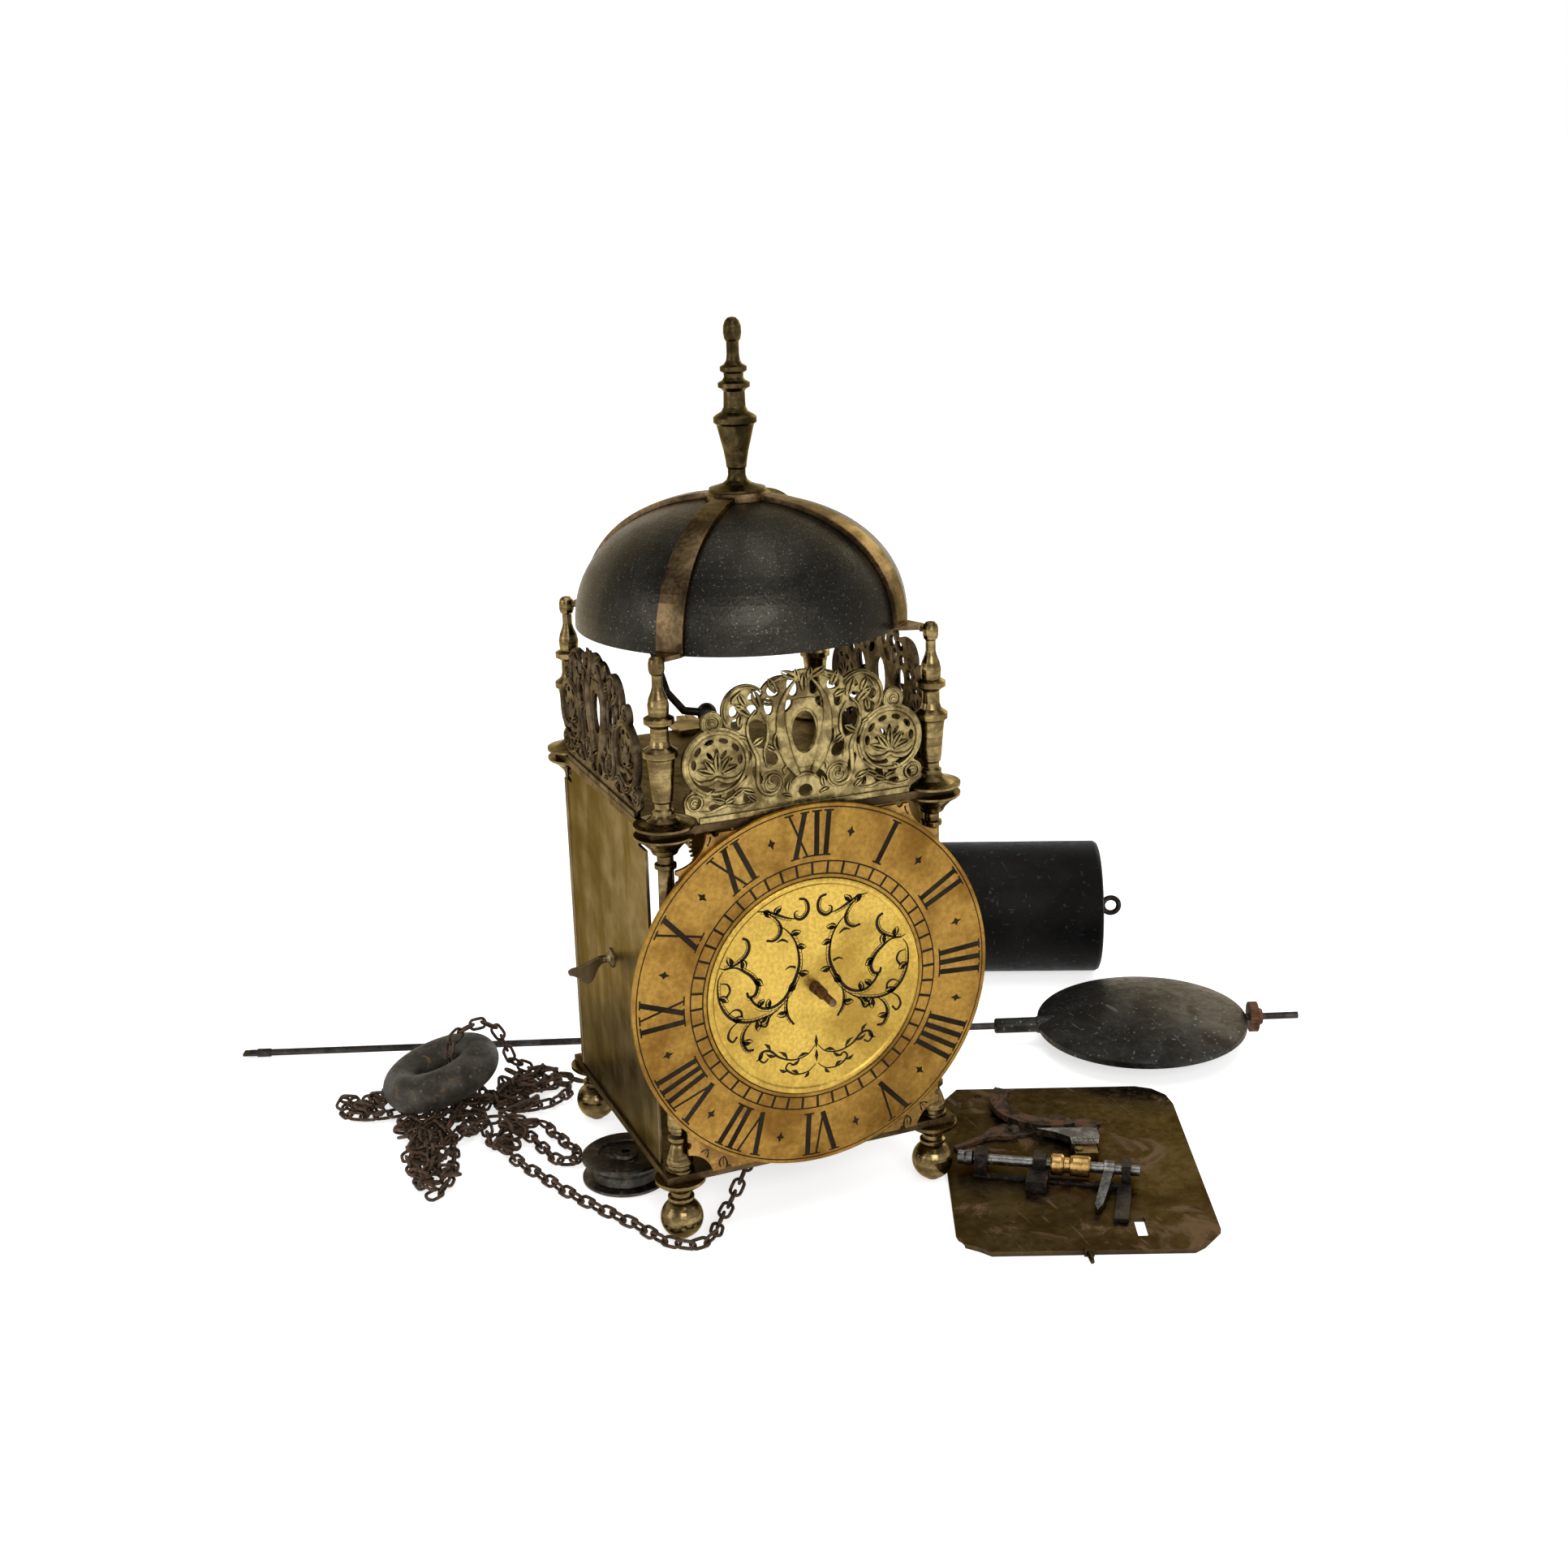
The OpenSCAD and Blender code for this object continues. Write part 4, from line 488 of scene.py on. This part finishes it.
def ribbon(pts, w0, w1, mid=None):
    """a stroke along pts whose width goes from w0 through mid to w1"""
    mid = max(w0, w1) if mid is None else mid
    P = [Vector((p[0], p[1])) for p in pts]
    out, edge, n = [], [], len(P)
    for i, p in enumerate(P):
        d = (P[min(n - 1, i + 1)] - P[max(0, i - 1)])
        d = d.normalized() if d.length else Vector((1, 0))
        t = i / (n - 1)
        w = (w0 + (mid - w0) * 2 * t if t < 0.5 else mid + (w1 - mid) * (2 * t - 1)) / 2
        nrm = Vector((-d.y, d.x)) * w
        edge.append((p + nrm, p - nrm))
    for (a, b), (c, d) in zip(edge, edge[1:]):
        out.append([tuple(a), tuple(b), tuple(d), tuple(c)])
    return out


def leaf(p, a, L, bend):
    """a small acanthus lobe: curved outline of two strokes and a vein"""
    out = []
    for s in (-1, 1):
        q = []
        for i in range(9):
            t = i / 8
            x, y = L * t, s * 0.27 * L * math.sin(math.pi * t) ** 0.8 + bend * L * t * t
            q.append((p[0] + x * cos(a) - y * sin(a), p[1] + x * sin(a) + y * cos(a)))
        out += ribbon(q, 0.4, 0.2, 0.95)
    q = []
    for i in range(6):
        t = 0.75 * i / 5
        x, y = L * t, bend * L * t * t
        q.append((p[0] + x * cos(a) - y * sin(a), p[1] + x * sin(a) + y * cos(a)))
    return out + ribbon(q, 0.3, 0.1, 0.4)


def sprig(p, a, L, bend):
    """a small solid leaf"""
    q = [(p[0] + L * t * cos(a + bend * 90 * t), p[1] + L * t * sin(a + bend * 90 * t))
         for t in (0, 0.25, 0.5, 0.75, 1)]
    return ribbon(q, 0.25, 0.1, 1.7)


def smooth2(pts, n=7):
    """a smooth curve through points of a plane"""
    return [(v.x, v.y) for v in spline([(x, z, 0) for x, z in pts], n)]


def offset(pts, d):
    """the same curve, d to its left"""
    out, n = [], len(pts)
    for i, p in enumerate(pts):
        a, b = Vector(pts[max(0, i - 1)]), Vector(pts[min(n - 1, i + 1)])
        t = (b - a).normalized()
        out.append((p[0] - t.y * d, p[1] + t.x * d))
    return out


def mirror(polys, s):
    """the polygons as they are for s = 1, mirrored in x for s = -1"""
    return [[(s * x, z) for x, z in p] for p in polys]


# engraved scrolls of one half: (points, width at the start, at the end and in the middle,
# side of the second line, or 0)
SCROLLS = [
    ([(6.4, 42.0), (3.6, 41.2), (2.2, 38.2), (2.8, 34.8), (5.6, 32.6), (8.4, 33.6), (8.6, 36.0), (7.0, 36.8)],
     0.9, 0.3, 1.0, 1.0),
    ([(8.2, 33.2), (12.0, 34.2), (16.6, 36.4), (21.0, 38.6), (26.2, 39.4)], 0.3, 0.3, 0.9, -0.9),
    ([(22.0, 38.4), (17.6, 35.0), (15.2, 31.0), (15.6, 27.2), (18.4, 25.0), (21.6, 25.4)],
     0.3, 0.9, 1.0, 0.9),
    ([(16.4, 31.6), (12.4, 28.4), (9.0, 23.4), (7.4, 17.6), (7.2, 12.0), (8.6, 7.0), (11.2, 1.8),
      (14.8, -3.0), (19.6, -5.6), (24.4, -5.4), (28.2, -2.6), (30.0, 0.2)], 0.3, 0.9, 1.1, -1.2),
    ([(8.8, 10.8), (11.4, 11.6), (13.6, 10.6)], 1.0, 0.3, 0.6, 0),
    ([(12.0, 23.0), (14.6, 24.6), (17.4, 23.8)], 0.4, 0.2, 0.9, 0),
    ([(33.0, 28.6), (30.6, 27.0), (30.0, 23.4), (32.2, 19.6), (36.8, 17.0), (41.2, 16.0), (44.0, 17.0)],
     1.0, 0.2, 1.0, 1.0),
    ([(41.8, 15.6), (36.8, 15.8), (32.6, 13.2), (29.0, 10.0), (26.8, 5.6), (28.0, 1.6), (30.8, 1.0),
      (31.6, 3.0)], 0.3, 0.9, 1.2, -1.1),
    ([(42.4, 15.0), (44.6, 11.2), (45.0, 5.6), (44.0, 0.0), (41.0, -5.6), (36.4, -9.2), (30.6, -10.6),
      (24.4, -9.8), (18.8, -8.0), (13.4, -3.8)], 0.3, 0.3, 1.0, -1.0),
    ([(43.8, 9.6), (40.6, 8.8), (39.4, 5.8), (40.8, 3.2)], 0.3, 0.9, 0.7, 0),
    ([(40.6, -5.2), (37.4, -3.6), (34.8, -4.8), (34.4, -7.2)], 0.3, 0.9, 0.7, 0),
    ([(12.6, -1.8), (13.6, -6.6), (13.0, -11.4), (10.6, -15.4)], 0.3, 0.8, 0.9, 0.8),
    ([(18.4, -7.4), (21.8, -10.4), (23.4, -14.0), (26.2, -13.2)], 0.3, 0.8, 0.8, 0),
    ([(29.6, -10.4), (33.2, -14.2), (34.4, -18.8), (32.6, -23.4), (29.8, -24.0)], 0.3, 0.9, 1.0, 0.9),
    ([(36.2, -9.4), (39.8, -12.2), (41.0, -16.0), (39.0, -18.4), (37.2, -16.6)], 0.3, 0.7, 0.8, 0),
]
# leaves of one half: x, z, angle, length, bend
LEAVES = [(10.6, 26.0, 150, 4.6, .3), (8.0, 20.0, 170, 4.2, .3), (7.4, 8.0, 205, 4.6, -.3),
          (12.6, 0.4, 150, 5.2, -.3), (21.6, -6.0, 70, 4.4, .3), (26.4, -4.4, 110, 4.0, .3),
          (17.6, 36.6, 110, 4.4, .3), (23.0, 39.0, 205, 4.4, .3), (33.6, 18.8, 240, 5.0, .3),
          (38.6, 16.6, 90, 4.6, -.3), (28.0, 8.2, 200, 4.6, .3), (44.4, 3.0, 190, 4.6, .3),
          (38.6, -7.8, 200, 4.8, -.3), (27.4, -10.4, 250, 5.0, .3), (34.4, -19.4, 200, 4.4, -.3),
          (13.4, -9.2, 330, 4.8, .3), (22.6, -9.4, 290, 4.6, .3)]
# plain scrolls of the lower part: (points, width, sprigs as (index, angle to the stem, length))
LOWER = [
    ([(0.6, -27.4), (4.4, -31.4), (11.0, -32.6), (17.4, -30.2), (21.8, -26.2), (25.6, -26.0), (27.0, -28.8),
      (25.0, -31.0), (22.8, -29.6)], 1.2,
     ((6, 55, 5.6), (11, -60, 5.2), (17, 62, 6.2), (23, -58, 5.6), (28, 66, 5.0), (34, -62, 5.4))),
    ([(0.6, -36.6), (4.6, -39.6), (10.4, -39.6), (14.6, -36.4), (13.4, -33.8), (11.0, -35.0)], 0.95,
     ((6, -62, 3.8), (12, 60, 4.2), (19, -60, 4.4)))]
eng = []
for s in (-1, 1):
    for pts, w0, w1, mid, second in SCROLLS:
        q = smooth2(pts)
        eng += mirror(ribbon(q, w0 * 1.2, w1 * 1.2, mid * 1.5), s)
        if w1 > 0.6:            # a round end
            x, z = pts[-1]
            eng += mirror([[(x + 0.55 * cos(30 * k), z + 0.55 * sin(30 * k)) for k in range(12)]], s)
        if second:
            n = len(q)
            eng += mirror(ribbon(offset(q, second * 1.25)[n // 8:n - n // 8], 0.16, 0.16, 0.42), s)
            # shading strokes across the stem
            o1, o2 = offset(q, second * 0.3), offset(q, second * 1.15)
            for i in range(n // 6, n - n // 6, 2):
                eng += mirror(ribbon([o1[i], o2[min(n - 1, i + 1)]], 0.22, 0.14), s)
    for x, z, a, L, b in LEAVES:
        eng += mirror(leaf((x, z), a, L, b), s) + mirror(sprig((x, z), a + 10, L * 0.9, b * 0.6), s)
for s in (-1, 1):
    for pts, w, sprigs in LOWER:
        q = smooth2(pts)
        eng += mirror(ribbon(q, 0.35, 0.8, w), s)
        for i, d, L in sprigs:
            t = math.degrees(math.atan2(q[i + 1][1] - q[i][1], q[i + 1][0] - q[i][0]))
            eng += mirror(sprig(q[i], t + d, L, -0.4 if d > 0 else 0.4), s)
eng += sprig((0, -29.0), 90, 6.5, 0) + sprig((0, -29.6), 270, 6.0, 0)
face_mesh("centre_engraving", eng, DISC_Y - LIFT, M["wax"])


# corner engraving of the dial plate, outside the ring
def on_plate(x, z):
    """inside the plate's edges, outside the chapter ring and clear of the notches at the pillars"""
    return (abs(x) < 59.8 and -78.8 < z < 76.4 and math.hypot(x, z) > 84
            and math.hypot(x - 62, z - 78) > 16 and math.hypot(x - 62, z + 81) > 13.2)


RING_EDGE, LEAF_START = 84.5, 85.2      # a leaf that would start under the ring starts beside it
cor = []
for sx in (-1, 1):
    for sz, zc in ((1, 64.0), (-1, -68.0)):
        for x, z, a, L in ((50, zc - 2 * sz, 40, 12), (44, zc + 4 * sz, 75, 10), (55, zc - 11 * sz, 5, 11),
                           (38, zc + 9 * sz, 110, 8)):
            if math.hypot(x, z) < RING_EDGE:
                d = LEAF_START / math.hypot(x, z)
                x, z = x * d, z * d
            if abs(x) < 58 and abs(z) < 74:
                cor += mirror([poly for poly in leaf((x, z), a * sz, L * 0.7, 0.3 * sz)
                               if all(on_plate(*pt) for pt in poly)], sx)
face_mesh("corner_engraving", cor, PLATE_Y - LIFT, M["wax"])

# ---------------------------------------------------------------- carving on the frets
EX, EY, ZP = 70.0, 69.5, 192.8  # half sizes and upper face of the top plate
ROOT = 0.92                     # from the plate's edge to the strokes' roots, 0.02 behind the fret's face


def relief(bm, put, pts, widths, h, n=7):
    """a half-round raised stroke along pts on a fret's face; widths are (position, width) pairs"""
    q = smooth2(pts, n)
    m, rows = len(q), []
    for i, (x, z) in enumerate(q):
        t = i / (m - 1)
        for (t0, w0), (t1, w1) in zip(widths, widths[1:]):
            if t0 <= t <= t1:
                w = w0 + (w1 - w0) * (t - t0) / (t1 - t0)
        a, b = Vector(q[max(0, i - 1)]), Vector(q[min(m - 1, i + 1)])
        d = (b - a).normalized()
        hh = h * min(1, 0.35 + w / max(v for _, v in widths))
        rows.append([bm.verts.new(put(x - d.y * w / 2 * cos(u), z + d.x * w / 2 * cos(u), hh * sin(u)))
                     for u in range(0, 181, 30)])
    for r0, r1 in zip(rows, rows[1:]):
        for k in range(6):
            f = bm.faces.new((r0[k], r0[k + 1], r1[k + 1], r1[k]))
            f.smooth = True


def petal(bm, put, x, z, a, L, w, h):
    """a raised leaf or petal with a middle crease"""
    pts = [(x + L * t * cos(a), z + L * t * sin(a)) for t in (0, 0.35, 0.7, 1)]
    for sgn in (-1, 1):
        q = [(p[0] - sgn * w * 0.24 * sin(a) * v, p[1] + sgn * w * 0.24 * cos(a) * v)
             for p, v in zip(pts, (0.5, 1.1, 1, 0.1))]
        relief(bm, put, q, ((0, 0.3 * w), (0.45, 0.56 * w), (1, 0.12)), h, 4)


def carve(name, put, mat):
    """the raised ornament of one fret; put takes x, z and the height over the face"""
    bm = bmesh.new()
    for s in (-1, 1):
        P = lambda pts: [(s * x, z) for x, z in pts]
        A = lambda a: a if s > 0 else 180 - a
        R = lambda pts, w, h: relief(bm, put, P(pts), w, h)
        # dolphin: tail up beside the crown, body round the oval, head above the base
        R([(2.6, 57.4), (6.6, 53.0), (9.6, 47.0), (10.6, 40.0), (10.0, 32.5), (8.6, 26.0), (6.4, 20.4),
           (3.6, 15.6)], ((0, 0.8), (0.25, 2.6), (0.62, 6.2), (0.85, 5.2), (1, 3.0)), 1.9)
        R([(11.6, 36.0), (13.6, 33.0), (13.4, 29.0), (11.4, 26.4)], ((0, 0.3), (0.5, 1.7), (1, 0.3)), 1.1)
        R([(8.0, 20.4), (9.8, 18.4), (9.4, 16.0)], ((0, 0.5), (0.5, 1.5), (1, 0.4)), 1.1)
        petal(bm, put, s * 2.6, 57.0, A(28), 8.5, 3.6, 1.0)
        petal(bm, put, s * 2.4, 56.0, A(78), 5.4, 3.0, 1.0)
        # stem from the base through a scroll and up to the crown
        R([(15.2, 13.0), (16.6, 14.2), (16.2, 16.4), (13.8, 16.8), (11.6, 14.8), (11.8, 11.2), (14.8, 8.6),
           (19.0, 9.4), (21.4, 13.4), (21.6, 19.4), (21.4, 25.0), (23.6, 30.4), (25.6, 36.0), (25.0, 41.8),
           (21.6, 46.0)],
          ((0, 1.4), (0.3, 1.7), (0.7, 2.2), (1, 1.0)), 1.2)
        R([(17.4, 20.4), (18.4, 27.4), (16.6, 33.0), (16.8, 39.6), (19.4, 44.4)],
          ((0, 0.5), (0.5, 1.8), (1, 0.5)), 1.0)
        # flower: ring, calyx and petals
        R([(39.4 + 13.4 * cos(a), 25.4 + 13.2 * sin(a)) for a in range(-100, 261, 20)],
          ((0, 1.6), (0.5, 2.3), (1, 1.6)), 1.2)
        R([(28.2, 20.6), (31.6, 17.6), (36.4, 17.4), (39.4, 18.8), (42.4, 17.4), (47.2, 17.6), (50.6, 20.6)],
          ((0, 0.4), (0.25, 2.8), (0.5, 2.0), (0.75, 2.8), (1, 0.4)), 1.2)
        for a in (20, 54, 90, 126, 160):
            petal(bm, put, s * 39.4 + 2.2 * cos(A(a)), 20.4 + 1.6 * sin(a), A(a), 8.2 if a == 90 else 7.4,
                  3.2, 1.2)
        # leaves over the shoulders and under the crown
        for x, z, a, L, w in ((20.0, 47.0, 70, 8.4, 3.8), (24.6, 44.0, 40, 8.6, 3.6),
                              (29.4, 40.0, 100, 5.0, 2.8), (12.4, 52.4, 62, 7.2, 3.6),
                              (14.0, 47.6, 20, 5.6, 2.8), (23.6, 31.0, 150, 6.0, 3.0),
                              (26.4, 34.0, 20, 4.6, 2.6), (17.6, 30.0, 215, 5.0, 2.6),
                              (28.6, 12.2, 200, 6.0, 2.8), (28.4, 12.6, 330, 6.4, 2.8),
                              (37.0, 8.6, 20, 5.4, 2.6), (36.6, 8.0, 160, 5.6, 2.6),
                              (8.4, 8.6, 100, 4.8, 2.4), (6.6, 6.0, 20, 4.6, 2.2), (22.6, 6.4, 40, 5.0, 2.4),
                              (45.0, 11.8, 150, 5.0, 2.2)):
            petal(bm, put, s * x, z, A(a), L, w, 1.1)
        R([(24.0, 6.2), (30.0, 5.2), (36.0, 6.6), (43.0, 4.6), (48.0, 5.6)],
          ((0, 0.4), (0.3, 1.7), (0.7, 1.7), (1, 0.4)), 0.9)
        for cx, cz, r, a0, a1 in ((26, 46.4, 9.7, -30, 140), (10, 48.6, 9.3, 50, 118),
                                  (39.4, 25.4, 14.3, -60, 70)):
            R([(cx + r * cos(a0 + (a1 - a0) * i / 10), cz + r * sin(a0 + (a1 - a0) * i / 10))
               for i in range(11)],
              ((0, 0.5), (0.5, 1.9), (1, 0.5)), 1.2)
        R([(28.0, 55.0), (31.6, 51.6), (32.0, 49.6)], ((0, 0.3), (0.5, 1.6), (1, 0.4)), 1.0)
        petal(bm, put, s * 26.4, 48.6, A(62), 6.0, 3.0, 1.2)
        petal(bm, put, s * 26.8, 47.6, A(12), 4.0, 2.2, 1.1)
        petal(bm, put, s * 12.6, 56.4, A(150), 5.0, 2.6, 1.1)
        # rosettes at the shoulder and at the foot
        for cx, cz, r in ((41.2, 42.8, 3.4), (50.0, 9.6, 3.2)):
            R([(cx + r * cos(a), cz + r * sin(a)) for a in range(0, 361, 30)], ((0, 1.2), (1, 1.2)), 0.9)
            R([(cx - 1.0, cz), (cx, cz), (cx + 1.0, cz)], ((0, 1.0), (0.5, 2.2), (1, 1.0)), 1.3)
    # the crown between the tails
    petal(bm, put, 0, 51.6, 90, 7.4, 3.4, 1.3)
    relief(bm, put, [(-6.6, 12.0), (-3.4, 14.6), (0, 15.4), (3.4, 14.6), (6.6, 12.0)],
           ((0, 0.4), (0.5, 2.0), (1, 0.4)), 1.0)
    bmesh.ops.recalc_face_normals(bm, faces=bm.faces)
    piece(name, bm, mat)


carve("front_fret_carving", lambda x, z, d: W(x, -EY + ROOT - d, ZP + z), M["fret_front"])
carve("left_fret_carving", lambda x, z, d: W(-EX + ROOT - d, -x, ZP + z), M["fret_side"])
carve("right_fret_carving", lambda x, z, d: W(EX - ROOT + d, x, ZP + z), M["fret_side"])

# ---------------------------------------------------------------- floor, light
FLOOR_HALF, FLOOR_Z, FLOOR_GLOW = 40, -0.0003, 0.66
fm = bpy.data.materials.new("floor_pale")
fm.use_nodes = True
g = G(fm)
fb = g.n["Principled BSDF"]
fb.inputs["Base Color"].default_value = (0.88, 0.88, 0.88, 1)
fb.inputs["Emission Color"].default_value = (1, 1, 1, 1)
fb.inputs["Roughness"].default_value = 0.9
fb.inputs["Specular IOR Level"].default_value = 0.1
ray = g.add("ShaderNodeLightPath").outputs
seen = g.math("MAXIMUM", ray["Is Camera Ray"], ray["Is Glossy Ray"])
g.link(g.math("MULTIPLY", seen, FLOOR_GLOW), fb.inputs["Emission Strength"])
me = bpy.data.meshes.new("floor")
me.from_pydata([(x * FLOOR_HALF, y * FLOOR_HALF, FLOOR_Z) for x, y in ((-1, -1), (1, -1), (1, 1), (-1, 1))],
               [], [(0, 1, 2, 3)])
floor = bpy.data.objects.new("floor", me)
coll.objects.link(floor)
me.materials.append(fm)

world = bpy.data.worlds.new("studio")
scene.world = world
world.use_nodes = True
g = G(world)
g.n.clear()
direction = g.add("ShaderNodeSeparateXYZ")
g.link(g.add("ShaderNodeTexCoord").outputs["Generated"], direction.inputs[0])


def backdrop(z0, z1, v0, v1):
    """white, whose strength goes from v0 at height z0 to v1 at z1"""
    grade, bg = g.add("ShaderNodeMapRange"), g.add("ShaderNodeBackground")
    for key, val in zip(("From Min", "From Max", "To Min", "To Max"), (z0, z1, v0, v1)):
        grade.inputs[key].default_value = val
    g.link(direction.outputs["Z"], grade.inputs["Value"])
    bg.inputs[0].default_value = (1, 1, 1, 1)
    g.link(grade.outputs["Result"], bg.inputs[1])
    return bg.outputs[0]


# lamps do most of the lighting; the sky only fills, and the camera sees a white room
ray = g.add("ShaderNodeLightPath").outputs
shown = g.add("ShaderNodeMixShader")
seen = g.math("MAXIMUM", ray["Is Camera Ray"], ray["Is Glossy Ray"])
g.link(g.math("MAXIMUM", seen, ray["Is Transmission Ray"]), shown.inputs[0])
g.link(backdrop(-0.2, 0.9, 0.10, 0.50), shown.inputs[1])
g.link(backdrop(0.37, 0.75, 1.0, 0.2), shown.inputs[2])
g.link(shown.outputs[0], g.add("ShaderNodeOutputWorld").inputs[0])


def area(name, loc, target, size, power):
    """a white area light: place, target and size in metres, power in watts"""
    d = bpy.data.lights.new(name, "AREA")
    d.shape = "RECTANGLE"
    d.size, d.size_y = size
    d.energy = power
    o = bpy.data.objects.new(name, d)
    coll.objects.link(o)
    o.location = loc
    o.rotation_euler = (Vector(target) - Vector(loc)).to_track_quat("-Z", "Y").to_euler()


area("key", (-0.35, -1.9, 1.15), (0, 0, 0.18), (1.1, 0.8), 17)
area("top", (0.1, -0.1, 1.9), (0, 0, 0.1), (1.6, 1.6), 13)
area("side", (-1.9, -0.1, 0.7), (0, 0, 0.15), (0.9, 1.2), 8)
area("rim", (1.6, 1.0, 1.0), (0, 0, 0.15), (1.0, 0.9), 7)
